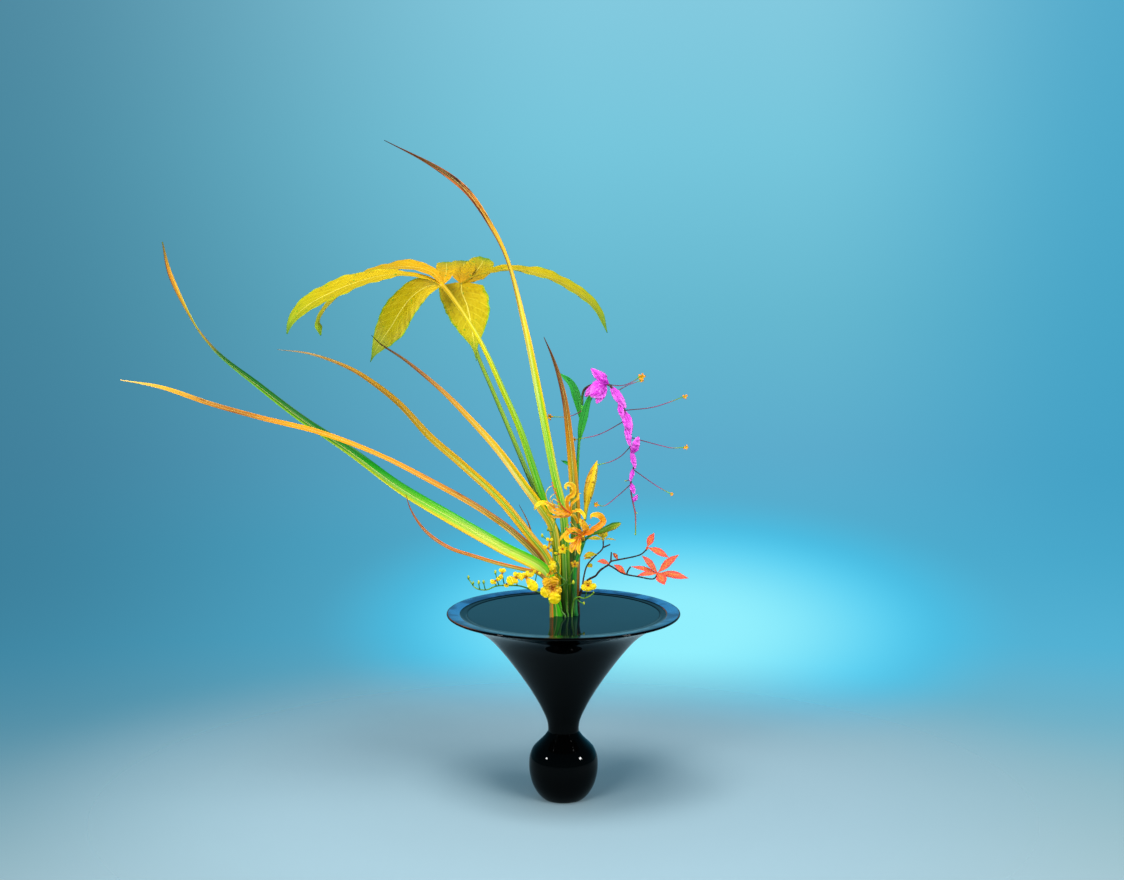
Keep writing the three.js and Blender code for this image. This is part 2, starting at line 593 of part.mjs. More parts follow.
addPiece('lily_flower_lower', 'lilyOrange', lilyFlower({
  tube: [[25.2, -30.9, 346.9], [24.6, -34, 351], [23.3, -37, 354.1]],
  petals: [
    { points: [[26.1, -38, 356], [32.5, -42, 358.4], [39.6, -45, 364.6], [45.9, -46, 368.5], [50, -46, 372.9],
      [48.3, -47, 378.9], [42.8, -49, 382.4], [35.6, -51, 382], [34, -51, 377.9]],
    width: 8.5, face: [-0.3, -1, 0.3], steps: 9 },
    { points: [[27.1, -37, 357.2], [29, -40, 361.2], [24.5, -44, 370.1], [20.5, -46, 377]],
      width: 9, face: [0.1, -1, 0.2] },
    { points: [[22.1, -38, 357.4], [14.5, -44, 363], [6.9, -50, 361.9], [3.1, -53, 357.1], [4.4, -55, 352.7],
      [10, -55, 350.6], [15.5, -54, 351.7]], width: 7, face: [0, -0.9, 0.4], steps: 7 },
    { points: [[18.3, -38, 359.3], [9.2, -47, 362.5], [2.7, -52, 359.5], [-2, -54, 354.9], [-6, -54, 348.4]],
      width: 4, face: [0, -0.8, 0.6] },
    { points: [[19.5, -38, 352.2], [14, -44, 348.9], [11.9, -48, 344.2], [10, -51, 339.4],
      [10.7, -51, 334.3]],
      width: 9, face: [0, -1, -0.3] },
    { points: [[20.8, -38, 351], [19.5, -45, 345.9], [18.9, -49, 339.4], [20.2, -50, 332.1]],
      width: 6, face: [0, -1, -0.3] },
  ],
  stamens: [
    [[21, -42, 358], [14, -54, 368], [9, -60, 375]], [[22, -42, 359], [24, -55, 369], [24, -61, 377]],
    [[23, -42, 358], [28, -55, 367], [33, -62, 372]], [[19.5, -42, 356], [9, -56, 361], [3, -62, 368]],
  ],
}));
addPiece('lily_bud_tall', 'lilyYellow', rod({
  points: [[27.2, -23.6, 371.9], [29, -23, 390], [34.5, -21.5, 420], [42.3, -20, 446.5]],
  radius: [[0, 1.6], [0.22, 2.8], [0.45, 6], [0.68, 6.3], [0.86, 4.2], [0.96, 1.6], [1, 1]],
  sides: 8, steps: 9,
}));
addPiece('lily_bud_short', 'budGreen', rod({
  points: [[36.8, -23.5, 353], [52, -25, 359], [72.8, -26, 368]],
  radius: [[0, 1.5], [0.4, 3.4], [0.75, 4.4], [0.95, 2], [1, 1]], sides: 8, steps: 8,
}));

// Orchid sprays: thin wiry stems with small yellow flowers. A flower is one thin plate, cut
// to its lobes: each points some degrees clockwise from straight up and has a length and a width.
const orchidHubRadius = 1.6;

function orchidLobe([turn, length, width]) {
  const outline = [[0, -0.2], [0.5, -0.5], [0.95, -0.3], [0.95, 0.3], [0.5, 0.5], [0, 0.2]];
  const [right, up] = [Math.sin(turn * degree), Math.cos(turn * degree)];
  return new wasm.CrossSection(outline.map(([share, side]) => {
    const [along, across] = [share * length, side * width];
    return [right * along + up * across, up * along - right * across];
  }), 'NonZero');
}

function orchidFlower([place, lobes, root]) {
  const [x, y, z] = place;
  const hub = wasm.CrossSection.circle(orchidHubRadius, 6);
  const outline = wasm.CrossSection.union([hub, ...lobes.map(orchidLobe)]).simplify(joinTolerance);
  const plate = outline.extrude(petalThickness).rotate([90, 0, 0]).translate(place).getMesh();
  return [
    sprig(root, [x, y - petalThickness / 2, z]),
    meshOf(Array.from(plate.vertProperties), Array.from(plate.triVerts)),
  ];
}

// Side stalk of a flower or bud, from its root on the stem
function sprig(root, end) {
  const middle = partWay(root, end, 0.5);
  middle[2] -= 1.5;
  return rod({ points: [root, middle, end], radius: [[0, 0.8], [1, 0.65]], sides: 3, steps: 2 });
}
function orchidBud([place, size, root]) {
  const [x, y, z] = place;
  return [
    sprig(root, place),
    rod({
      points: [[x, y, z - size], place, [x, y, z + size]],
      radius: [[0, 0.5], [0.34, size * 0.6], [0.67, size * 0.55], [1, 0.4]], sides: 4, steps: 3,
    }),
  ];
}
function orchidSpray({ stem, buds, flowers }) {
  const rooted = (part) => [...part.slice(0, -1), nearestOn(stem, part[part.length - 1])];
  return fuse(
    standing(rod, { ...stem, sides: 4 }),
    buds.flatMap((bud) => orchidBud(rooted(bud))),
    flowers.flatMap((flower) => orchidFlower(rooted(flower))),
  );
}
addPiece('orchid_spray_left', 'orchidYellow', orchidSpray({
  stem: {
    points: [...footing(1.9, -20), [-1.5, -20.5, 251], [-7, -24, 266], [-12, -26, 275], [-20, -28, 278],
      [-32, -31, 280], [-42.5, -34, 284.5], [-55.6, -36, 289], [-69, -38, 290], [-85, -40, 289.6],
      [-98, -42, 285], [-111, -44, 288], [-119, -46, 299]],
    radius: [[0, 1.3], [0.5, 1.1], [1, 0.8]], steps: 17,
  },
  buds: [
    [[-120, -46, 302], 3, [-119, -46, 298]], [[-107, -48, 296], 3, [-105, -43, 286]],
    [[-100.8, -46, 296], 3, [-98, -42, 285]], [[-86, -46, 308.9], 3, [-82, -39, 290]],
    [[-114, -46, 295], 2.4, [-114, -44.7, 291]],
  ],
  flowers: [
    [[-85.8, -46, 298], [[-110, 7, 6.5], [60, 8, 6], [200, 5, 5]], [-85, -40, 289.6]],
    [[-77.2, -47, 307.8], [[-20, 6.5, 6], [30, 6.5, 6], [200, 9, 6.5]], [-74, -38.5, 290]],
    [[-59.2, -48, 302.2], [[-115, 13.5, 12], [40, 8, 6], [-20, 7.5, 6], [100, 5, 4], [-165, 8, 7]],
      [-58, -36.5, 289]],
    [[-72, -44, 293.4], [[180, 4.5, 6], [140, 4, 4], [-140, 4, 4]], [-69, -38, 290]],
    [[-47.9, -50, 303.3], [[138.5, 22, 12.5], [-85, 8, 10], [25, 8.5, 5.5], [66, 12, 6], [-30, 6.5, 5]],
      [-42.5, -34, 284.5]],
    [[-33.4, -46, 308.5], [[-70, 5.5, 4], [110, 5.5, 4]], [-38, -33, 282.6]],
  ],
}));
addPiece('orchid_spray_upright', 'orchidYellow', orchidSpray({
  stem: {
    points: [...footing(6, -18), [4.5, -18.5, 253.5], [3.6, -22, 276], [2.9, -32, 293.3], [-6.3, -34, 304.7],
      [-5.6, -34, 312.5], [-7.1, -34, 318], [-11.8, -34, 325], [-12.5, -34, 338.2], [-17.1, -34, 343.8],
      [-13.3, -36, 358.9], [-10.1, -38, 377.2]],
    radius: [[0, 1.3], [0.6, 1.1], [1, 0.8]], steps: 16,
  },
  buds: [
    [[-10, -38.2, 379], 2.6, [-10.6, -37.8, 374]], [[-27, -37, 354], 3, [-16.6, -34.4, 347]],
    [[-20, -38, 362], 2.4, [-13.6, -35.8, 358]], [[12.4, -41, 294.6], 3.2, [3, -30, 289.6]],
  ],
  flowers: [
    [[-13.9, -57, 289.6],
      [[-113, 16, 15], [166, 20, 16], [-40, 17, 12], [10, 16.5, 13], [100, 12, 10], [-78, 12, 9]],
      [2.9, -32, 293.3]],
    [[-17.7, -44, 307.2], [[23, 17, 6.5], [-150, 5, 5], [95, 5, 5]], [-6.3, -34, 306]],
    [[-1, -46, 338.4], [[8, 6.5, 4.6], [80, 7, 4.6], [150, 6.5, 5], [-140, 6.5, 5], [-65, 6, 4.6]],
      [-12.5, -34, 334]],
    [[-19.3, -44, 338.7], [[-60, 7.5, 5], [120, 6.5, 5], [20, 5, 4]], [-12.5, -34, 337]],
    [[-17.7, -42, 347.2], [[-35, 6, 4.4], [45, 6, 4.4], [175, 4.5, 4]], [-17, -34.2, 344]],
    [[-6.3, -42, 331.2], [[60, 6.5, 2.6], [-70, 6, 2.6]], [-12, -34, 328]],
    [[-14.5, -42, 317.1], [[-20, 6, 5], [110, 6, 5], [-125, 5.5, 4.6]], [-7.1, -34, 318]],
    [[14.3, -40, 318], [[0, 5, 3.6], [72, 5.4, 3.6], [144, 5, 3.6], [216, 5, 3.6], [288, 5.4, 3.6]],
      [3.4, -30, 291]],
  ],
}));
addPiece('orchid_spray_right', 'orchidYellow', orchidSpray({
  stem: {
    points: [...footing(11, -18), [11.6, -18.5, 260], [14.5, -21, 268.5], [19.5, -24, 271.9],
      [25, -28, 271.3], [31, -31, 273.5], [37.4, -34, 278.5]],
    radius: [[0, 1.3], [1, 0.8]], steps: 9,
  },
  buds: [[[38, -34.5, 280], 2, [36.6, -33.6, 277.6]], [[26, -27, 264.5], 2.4, [16, -22, 269.6]]],
  flowers: [
    [[31, -38, 290], [[-115, 9.5, 9], [100, 11, 9], [180, 8, 12], [-35, 7.5, 5.5], [30, 8, 5.5]],
      [27, -29, 271.8]],
  ],
}));

// Twig in autumn colour: dark branches, and pointed leaves in whorls at their ends
const leafStalkGap = 0.6;
const twigLeafFace = [0, -0.8, 0.6];
const whorlHubRadius = 1.65;

function twigLeaf([base, tip, width]) {
  const length = Math.hypot(...base.map((value, i) => tip[i] - value));
  const middle = partWay(base, tip, 0.5);
  middle[2] += 1.2;
  return blade({
    points: [partWay(base, tip, leafStalkGap / length), middle, tip], face: twigLeafFace, fold: 0.2,
    thickness: petalThickness, steps: 4,
    width: [[0, 1.2], [0.25, width * 0.72], [0.5, width], [0.75, width * 0.7], [1, 1]],
  });
}
function whorlHub(points) {
  return rod({ points, radius: whorlHubRadius, sides: 6, steps: 1 });
}
addPiece('twig', 'barkBrown', fuse(
  standing(rod, {
    points: [...footing(19.5, -1.5), [19.5, -1.5, 263], [25, -4, 281], [32.6, -7, 291.4], [40.3, -8, 295.6],
      [46.6, -10, 303.4], [58, -12, 311.8]],
    radius: [[0, 2], [0.6, 1.6], [1, 1.2]], sides: 5, steps: 11,
  }),
  [
    [[57, -12, 311], [60.3, -12, 315.4], [69.9, -12, 317.8], [89.3, -14.5, 322.3], [98.8, -17, 326],
      [105.6, -19.4, 332.6]],
    [[57, -12, 311.4], [64, -13, 307.6], [75.6, -16, 300.9], [94.8, -21, 297.8], [114.3, -26, 296],
      [118.4, -27.6, 300.2]],
    [[24, -3, 279], [26.5, 3, 295], [30.6, 7, 307.2], [39.8, 11, 317.2], [50.3, 15.5, 327.2],
      [51.2, 17.8, 336.4]],
    [[60.4, -12, 315.2], [60.6, -12, 321.4], [61, -12, 327.6]],
    [[80.5, -17.5, 300.2], [82, -18.4, 305], [85.2, -19.5, 310.2]],
    [[50.4, 15.6, 328], [55, 18, 329.6], [59.9, 20, 331.4]],
  ].map((points) => rod({ points, radius: [[0, 1.1], [1, 0.85]], sides: 4, steps: points.length })),
  [
    [[59.2, -12.2, 312.4], [42.9, -17, 316.8], 7.2], [[79.6, -17.2, 300.4], [63.8, -21, 313.1], 8],
    [[69.5, -12.4, 317.6], [62.9, -9, 326], 5.5], [[43, 12, 320.4], [25.4, 5, 318.3], 8.4],
    [[38, 10.3, 315.2], [25.6, 4, 315.4], 3.8], [[30.2, 6.7, 306.2], [36.8, -3, 306.2], 7.6],
  ].map(twigLeaf),
));
addPiece('red_leaf_whorl_right', 'coral', fuse(
  whorlHub([[118.6, -27.7, 300.8], [119, -28, 302.6], [119.5, -28.2, 304.2]]),
  [
    [[119.4, -28, 303.6], [99.1, -38, 328.4], 9.5], [[119.5, -28, 304], [145.3, -42, 330.2], 11],
    [[119.5, -28, 303.6], [159, -21, 295.6], 11], [[119.5, -28, 303.4], [127.5, -44, 292.1], 14.5],
    [[119.4, -28, 303.6], [85.7, -36, 313.9], 6.5], [[119.4, -28, 303.4], [93.3, -42, 303.4], 7],
  ].map(twigLeaf),
));
addPiece('red_leaf_whorl_upper', 'coral', fuse(
  whorlHub([[105.8, -19.5, 333.1], [106.3, -20, 334.6], [106.5, -20, 336]]),
  [
    [[106.5, -20, 335.4], [115, -22, 354.4], 9.5], [[106.5, -20, 335.4], [133.8, -20, 322.3], 10],
    [[106.5, -20, 335.6], [112, 6, 344], 5],
  ].map(twigLeaf),
));
addPiece('yellow_leaf_whorl', 'leafLime', fuse(
  whorlHub([[51.2, 17.9, 336.9], [51.2, 18, 338.6], [51.2, 18, 340]]),
  [
    [[51.2, 18, 338.7], [30.8, 9, 340.8], 6], [[51.2, 18, 339], [47.7, 14, 348.9], 7],
    [[51.2, 18, 339], [56.8, 22, 347.4], 7], [[51.2, 18, 338.6], [67.4, 12, 338.6], 2.6],
    [[51.2, 18, 339], [43, 36, 345], 7],
  ].map(twigLeaf),
));

// The pin holder: a heavy disc with rows of sharp pins, bare where the stems stand
const holderTop = basinFloor + seatGap + holderThickness;
function clearOfStems(x, y) {
  return stemFeet.every((foot) => Math.hypot(
    Math.max(Math.abs(x - foot.x) - foot.reach, 0),
    Math.max(Math.abs(y - foot.y) - foot.depth, 0),
  ) > pinRadius + pinRoom);
}
const pins = [];
const rowSpacing = pinSpacing * Math.sin(60 * degree);
const rowCount = Math.floor((holderRadius - pinMargin) / rowSpacing);
for (let row = -rowCount; row <= rowCount; row++) {
  for (let column = -rowCount; column <= rowCount; column++) {
    const x = (column + (row % 2) / 2) * pinSpacing;
    const y = row * rowSpacing;
    if (Math.hypot(x, y) > holderRadius - pinMargin || !clearOfStems(x, y)) continue;
    const pin = new THREE.ConeGeometry(pinRadius, pinHeight + 1, 3).rotateX(Math.PI / 2);
    pins.push(pin.translate(x, y, holderTop + (pinHeight - 1) / 2));
  }
}
const holderDisc = turned([
  [0, basinFloor + seatGap], [holderRadius, basinFloor + seatGap], [holderRadius, holderTop - 1],
  [holderRadius - 1, holderTop], [0, holderTop],
], 24);
addPiece('pin_holder', 'brass', fuse(holderDisc, pins));

// The water: it fills the basin round the pin holder, with a plain hole for each stem
const wetWall = basinWall.filter(([, height]) => height < waterLevel - 1 && height > basinFloor + 1);
const waterBody = toSolid(turned([
  [0, basinFloor + seatGap], [basinFloorRadius - wallGap, basinFloor + seatGap],
  ...wetWall.reverse().map(([radius, height]) => [radius - wallGap, height]),
  [waterRadius, waterLevel], [0, waterLevel],
], vaseSides));
const chamber = toSolid(turned([
  [0, basinFloor - 1], [holderRadius + wallGap, basinFloor - 1], [holderRadius + wallGap, holderTop + 1],
  [holderRadius - 2, holderTop + pinHeight + wallGap], [0, holderTop + pinHeight + wallGap],
], 24));
const holes = wasm.Manifold.union(stemHoles.map(toSolid));
addPiece('water', 'darkWater', toGeometry(waterBody.subtract(chamber).subtract(holes)));

export default arrangement;
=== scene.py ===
import math
import random

import bmesh
import bpy
from mathutils import Matrix, Quaternion, Vector, noise


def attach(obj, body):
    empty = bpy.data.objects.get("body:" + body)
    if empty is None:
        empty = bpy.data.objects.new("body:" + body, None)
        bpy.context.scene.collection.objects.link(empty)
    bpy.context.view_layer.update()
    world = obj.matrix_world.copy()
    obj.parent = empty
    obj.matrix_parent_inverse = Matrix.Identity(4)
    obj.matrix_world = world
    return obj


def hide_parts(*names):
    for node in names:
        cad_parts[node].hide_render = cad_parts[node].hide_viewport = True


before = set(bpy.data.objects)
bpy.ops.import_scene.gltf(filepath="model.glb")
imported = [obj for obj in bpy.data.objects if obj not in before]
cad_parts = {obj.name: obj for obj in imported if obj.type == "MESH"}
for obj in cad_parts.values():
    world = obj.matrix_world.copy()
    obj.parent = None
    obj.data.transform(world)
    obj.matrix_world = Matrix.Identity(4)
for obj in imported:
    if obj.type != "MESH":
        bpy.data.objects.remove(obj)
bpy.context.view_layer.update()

# places and sizes are in millimetres until closePiece makes them metres
mm = 0.001
front = (0, -1, 0)
shared = {
    "stemFoot": 182.6, "waterLevel": 244.7, "weld": 0.004, "tip": 0.35, "spanSteps": 24,
    "nearestSteps": 120, "slopeStep": 0.004,
}


# colours and shader maths

def rgb(code):
    parts = [int(code[i:i + 2], 16) / 255 for i in (0, 2, 4)]
    return tuple(p / 12.92 if p <= 0.04045 else ((p + 0.055) / 1.055) ** 2.4 for p in parts) + (1.0,)


class Wire:
    # one output of a shader node, so that shader maths reads as sums
    def __init__(self, skin, socket):
        self.skin = skin
        self.socket = socket

    def maths(self, operation, *values):
        return self.skin.add("ShaderNodeMath", {"operation": operation}, dict(enumerate(values)))

    def __add__(self, other):
        return self.maths("ADD", self, other)

    def __sub__(self, other):
        return self.maths("SUBTRACT", self, other)

    def __rsub__(self, other):
        return self.maths("SUBTRACT", other, self)

    def __mul__(self, other):
        return self.maths("MULTIPLY", self, other)

    def __pow__(self, other):
        return self.maths("POWER", self, other)

    def __abs__(self):
        return self.maths("ABSOLUTE", self)

    def wrapped(self):
        return self.maths("FRACT", self)


class Skin:
    # a material, or the sky, and the nodes in it
    def __init__(self, owner):
        self.owner = owner
        owner.use_nodes = True
        self.tree = owner.node_tree
        self.tree.nodes.clear()

    def add(self, kind, settings, values, output=0):
        node = self.tree.nodes.new(kind)
        for key, value in settings.items():
            if key == "stops":
                self.setStops(node.color_ramp, value)
            else:
                setattr(node, key, value)
        for key, value in values.items():
            if isinstance(value, Wire):
                self.tree.links.new(value.socket, node.inputs[key])
            else:
                node.inputs[key].default_value = value
        return Wire(self, node.outputs[output]) if node.outputs else None

    def setStops(self, ramp, stops):
        while len(ramp.elements) < len(stops):
            ramp.elements.new(0.5)
        for element, (place, code) in zip(ramp.elements, stops):
            element.position = place
            element.color = rgb(code)

    def ramp(self, place, stops):
        return self.add("ShaderNodeValToRGB", {"stops": stops}, {0: place})

    def between(self, value, low, high):
        # 0 at low, 1 at high, with soft ends
        settings = {"interpolation_type": "SMOOTHSTEP", "clamp": True}
        return self.add("ShaderNodeMapRange", settings, {0: value, 1: low, 2: high, 3: 0.0, 4: 1.0})

    def mix(self, share, one, other, mode="MIX"):
        settings = {"data_type": "RGBA", "blend_type": mode}
        return self.add("ShaderNodeMix", settings, {0: share, 6: one, 7: other}, output=2)

    def noise(self, vector, scale, detail=2.0, roughness=0.5):
        values = {"Vector": vector, "Scale": scale, "Detail": detail, "Roughness": roughness}
        return self.add("ShaderNodeTexNoise", {}, values)

    def objectPlace(self):
        return self.add("ShaderNodeTexCoord", {}, {}, output="Object")

    def parts(self, vector):
        split = self.add("ShaderNodeSeparateXYZ", {}, {0: vector}).socket.node
        return [Wire(self, output) for output in split.outputs]

    def close(self, base, roughness, height=None, depth=0.0002, **more):
        values = {"Base Color": base, "Roughness": roughness, **more}
        if height is not None:
            bump = {"Height": height, "Distance": depth, "Strength": 0.6}
            values["Normal"] = self.add("ShaderNodeBump", {}, bump)
        shader = self.add("ShaderNodeBsdfPrincipled", {}, values)
        self.add("ShaderNodeOutputMaterial", {}, {0: shader})
        return self.owner


def newSkin(name):
    return Skin(bpy.data.materials.new(name))


# leafSkin paints anything made along a route: its map runs 0 to 1 from base to tip, and
# 0 to 1 from the left or lower edge to the right or upper one
def leafSkin(name, look):
    skin = newSkin(name)
    place = skin.add("ShaderNodeUVMap", {"uv_map": "leafMap"}, {})
    along, across, _ = skin.parts(place)
    tint = skin.add("ShaderNodeAttribute", {"attribute_name": "tint"}, {}, output="Fac")
    margin = abs(across * 2 - 1)
    colour = skin.ramp(along, look["middle"])
    inner, outer = look.get("spread", (0.15, 0.85))
    for edge, reach in (("low", 1 - across * 2), ("high", across * 2 - 1)):
        if edge in look or "edges" in look:
            edgeColour = skin.ramp(along, look.get(edge, look.get("edges")))
            colour = skin.mix(skin.between(reach, inner, outer), colour, edgeColour)
    if "tinted" in look:
        colour = skin.mix(tint, colour, skin.ramp(along, look["tinted"]))
    count, stretch, strength = look.get("streaks", (9, 5, 0.5))
    grain = skin.add("ShaderNodeCombineXYZ", {}, {0: along * stretch, 1: across * count, 2: tint * 7})
    streaks = skin.noise(grain, 1.0, 1.5)
    colour = skin.mix(skin.between(streaks, 0.5, 0.72) * strength, colour, rgb(look.get("shade", "7a7a48")),
                      "MULTIPLY")
    colour = skin.mix(skin.between(streaks, 0.48, 0.28) * strength * 0.4, colour,
                      rgb(look.get("light", "f4f0a0")))
    height = streaks * 0.5
    if "veins" in look:
        number, slant, share, code = look["veins"]
        phase = (along * number - margin * slant).wrapped()
        lines = 1 - skin.between(abs(phase - 0.5), 0.02, 0.14)
        colour = skin.mix(lines * share, colour, rgb(code))
        height = height + lines * 0.7
    if "rib" in look:
        width, code = look["rib"]
        rib = (1 - skin.between(margin, width * 0.4, width)) * (1 - skin.between(along, 0.8, 0.98))
        colour = skin.mix(rib * 0.8, colour, rgb(code))
        height = height + rib
    if "specks" in look:
        size, level, code = look["specks"]
        dots = skin.noise(skin.objectPlace(), size, 1.0)
        colour = skin.mix(skin.between(dots, level, level + 0.04) * 0.8, colour, rgb(code))
    if "patches" in look:
        code, begin, end, level = look["patches"]
        blots = skin.add("ShaderNodeCombineXYZ", {}, {0: along * 22, 1: across * 3, 2: 3.7})
        rot = skin.noise(blots, 1.0, 4.0, 0.65)
        band = skin.between(along, begin - 0.03, begin) * (1 - skin.between(along, end, end + 0.03))
        colour = skin.mix(skin.between(rot, level, level + 0.1) * band, colour, rgb(code))
    rough = look.get("rough", (0.36, 0.58))
    roughness = streaks * (rough[1] - rough[0]) + rough[0]
    return skin.close(colour, roughness, height, look.get("depth", 0.0001), **{"Specular IOR Level": 0.25})


# routes, strips and rods

class Route:
    # a smooth line through given points, walked from 0 to 1 by its length
    def __init__(self, points):
        corners = [Vector(point) for point in points]
        corners = [2 * corners[0] - corners[1], *corners, 2 * corners[-1] - corners[-2]]
        self.places = [corners[1]]
        for a, b, c, d in zip(corners, corners[1:], corners[2:], corners[3:]):
            before, here, after = (max((q - p).length ** 0.5, 1e-4) for p, q in ((a, b), (b, c), (c, d)))
            leave = ((b - a) / before - (c - a) / (before + here) + (c - b) / here) * here
            arrive = ((c - b) / here - (d - b) / (here + after) + (d - c) / after) * here
            for i in range(1, shared["spanSteps"] + 1):
                s = i / shared["spanSteps"]
                bend = leave * (s - 2 * s * s + s ** 3) + arrive * (s ** 3 - s * s)
                self.places.append(b * (1 - 3 * s * s + 2 * s ** 3) + c * (3 * s * s - 2 * s ** 3) + bend)
        self.lengths = [0.0]
        for p, q in zip(self.places, self.places[1:]):
            self.lengths.append(self.lengths[-1] + (q - p).length)

    def at(self, t):
        wanted = min(max(t, 0.0), 1.0) * self.lengths[-1]
        low, high = 0, len(self.lengths) - 1
        while high - low > 1:
            middle = (low + high) // 2
            if self.lengths[middle] <= wanted:
                low = middle
            else:
                high = middle
        span = self.lengths[high] - self.lengths[low]
        return self.places[low].lerp(self.places[high], (wanted - self.lengths[low]) / max(span, 1e-9))

    def along(self, t):
        step = shared["slopeStep"]
        return (self.at(t + step) - self.at(t - step)).normalized()

    def nearest(self, place):
        steps = shared["nearestSteps"]
        return min((self.at(i / steps) for i in range(steps + 1)), key=lambda p: (p - Vector(place)).length)


def straightValue(stations, t):
    if t <= stations[0][0]:
        return stations[0][1]
    for (t0, before), (t1, after) in zip(stations, stations[1:]):
        if t <= t1:
            share = (t - t0) / (t1 - t0)
            return before + (after - before) * share
    return stations[-1][1]


def easedValue(stations, t, reach=0.03):
    # the same, with its corners rounded off; a single number holds all the way
    if not isinstance(stations, list):
        return stations
    return sum(straightValue(stations, t + step * reach / 2) for step in (-2, -1, 0, 1, 2)) / 5


def stripFrames(points, steps, face, turn):
    route = Route(points)
    frames = []
    for i in range(steps + 1):
        t = i / steps
        along = route.along(t)
        normal = Vector(face)
        normal = (normal - along * normal.dot(along)).normalized()
        normal = Quaternion(along, math.radians(easedValue(turn, t))) @ normal
        frames.append((route.at(t), along.cross(normal), normal))
    return frames


def rodFrames(points, steps):
    route = Route(points)
    frames = []
    normal = Vector(front)
    for i in range(steps + 1):
        along = route.along(i / steps)
        normal = normal - along * normal.dot(along)
        if normal.length < 0.05:
            normal = along.orthogonal()
        normal.normalize()
        frames.append((route.at(i / steps), along.cross(normal), normal))
    return frames


def loft(bm, frames, ring, section, tint=0.0):
    # rolls a grid round a route, then closes its seam and its ends
    steps = len(frames) - 1
    places = bm.loops.layers.uv["leafMap"]
    tints = bm.verts.layers.float["tint"]
    grid = bmesh.ops.create_grid(bm, x_segments=steps, y_segments=ring, size=0.5)["verts"]
    faces = {face for vert in grid for face in vert.link_faces}
    for face in faces:
        for loop in face.loops:
            t, turn = loop.vert.co.x + 0.5, (loop.vert.co.y + 0.5) * math.tau
            loop[places].uv = (t, 0.5 + 0.5 * math.cos(turn))
    for vert in grid:
        t, turn = vert.co.x + 0.5, (vert.co.y + 0.5) * math.tau
        place, across, normal = frames[round(t * steps)]
        x, y = section(t, turn)
        vert[tints] = tint
        vert.co = place + across * x + normal * y
    bmesh.ops.remove_doubles(bm, verts=grid, dist=shared["weld"])
    rims = {edge for face in faces if face.is_valid for edge in face.edges if edge.is_boundary}
    if rims:
        bmesh.ops.holes_fill(bm, edges=list(rims), sides=0)
    return [vert for vert in grid if vert.is_valid]


def strip(bm, points, width, turn=0, face=front, fold=0.2, thick=0.9, steps=40, ring=12, wave=0, waves=0,
          pleats=0, pleatDepth=0, crinkle=0, tint=0.0, seed=0):
    # a leaf, petal or bract: a thin lens in section, folded to a soft V along its middle
    def section(t, angle):
        share = math.cos(angle)
        half = max(easedValue(width, t), shared["tip"]) / 2
        ripple = wave * share * share * math.sin(math.tau * waves * t + (0 if share > 0 else 2) + seed)
        rise = fold * half * (math.sqrt(share * share + 0.01) - 0.1)
        rise += ripple * math.sin(math.pi * min(t * 1.4, 1))
        if pleats:
            fade = min(1, 4 * t * (1 - t)) * abs(share)
            rise += pleatDepth * math.sin(math.tau * (pleats * t - 1.6 * abs(share))) * fade
        if crinkle:
            rise += crinkle * noise.noise((t * 9, share * 2.5, seed * 3.1)) * min(1, 4 * t)
            half *= 1 + 0.12 * crinkle * noise.noise((t * 14, 5 + (share > 0), seed))
        depth = min(thick, half * 1.2) / 2
        return share * half, rise + depth * math.sin(angle)
    return loft(bm, stripFrames(points, steps, face, turn), ring, section, tint)


def rod(bm, points, radius, steps=24, ring=10, ridges=0, ridgeDepth=0, bumps=0, tint=0.0, seed=0):
    # a stem, thread or bud: round in section, with ridges along it or knots on it
    def section(t, angle):
        reach = easedValue(radius, t, 0.02)
        reach *= 1 + ridgeDepth * math.cos(ridges * angle)
        if bumps:
            reach *= 1 + bumps * noise.noise((t * 30, math.cos(angle), seed))
        return math.cos(angle) * reach, math.sin(angle) * reach
    return loft(bm, rodFrames(points, steps), ring, section, tint)


def newMesh():
    bm = bmesh.new()
    bm.loops.layers.uv.new("leafMap")
    bm.verts.layers.float.new("tint")
    return bm


def addObject(name, data):
    made = bpy.data.objects.new(name, data)
    bpy.context.scene.collection.objects.link(made)
    return made


def closePiece(name, bm, skin, slot, *nodes):
    bmesh.ops.scale(bm, vec=(mm, mm, mm), verts=bm.verts)
    bmesh.ops.recalc_face_normals(bm, faces=bm.faces)
    mesh = bpy.data.meshes.new(name)
    bm.to_mesh(mesh)
    bm.free()
    mesh.shade_smooth()
    mesh.materials.append(skin)
    piece = addObject(name, mesh)
    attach(piece, "root")
    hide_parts(*nodes)
    return piece


def footing(x, y):
    return [(x, y, shared["stemFoot"]), (x, y, shared["waterLevel"] + 2)]


def partWay(start, end, share):
    return Vector(start).lerp(Vector(end), share)


# the camera stands where the photographer stood
cameraPlace = {"location": (-0.0019, -2.927, 0.901), "down": 8.37, "lens": 74.6}
cameraData = bpy.data.cameras.new("camera")
cameraData.sensor_width = 36
cameraData.lens = cameraPlace["lens"]
camera = addObject("camera", cameraData)
camera.location = cameraPlace["location"]
camera.rotation_euler = (math.radians(90 - cameraPlace["down"]), 0, 0)
bpy.context.scene.camera = camera

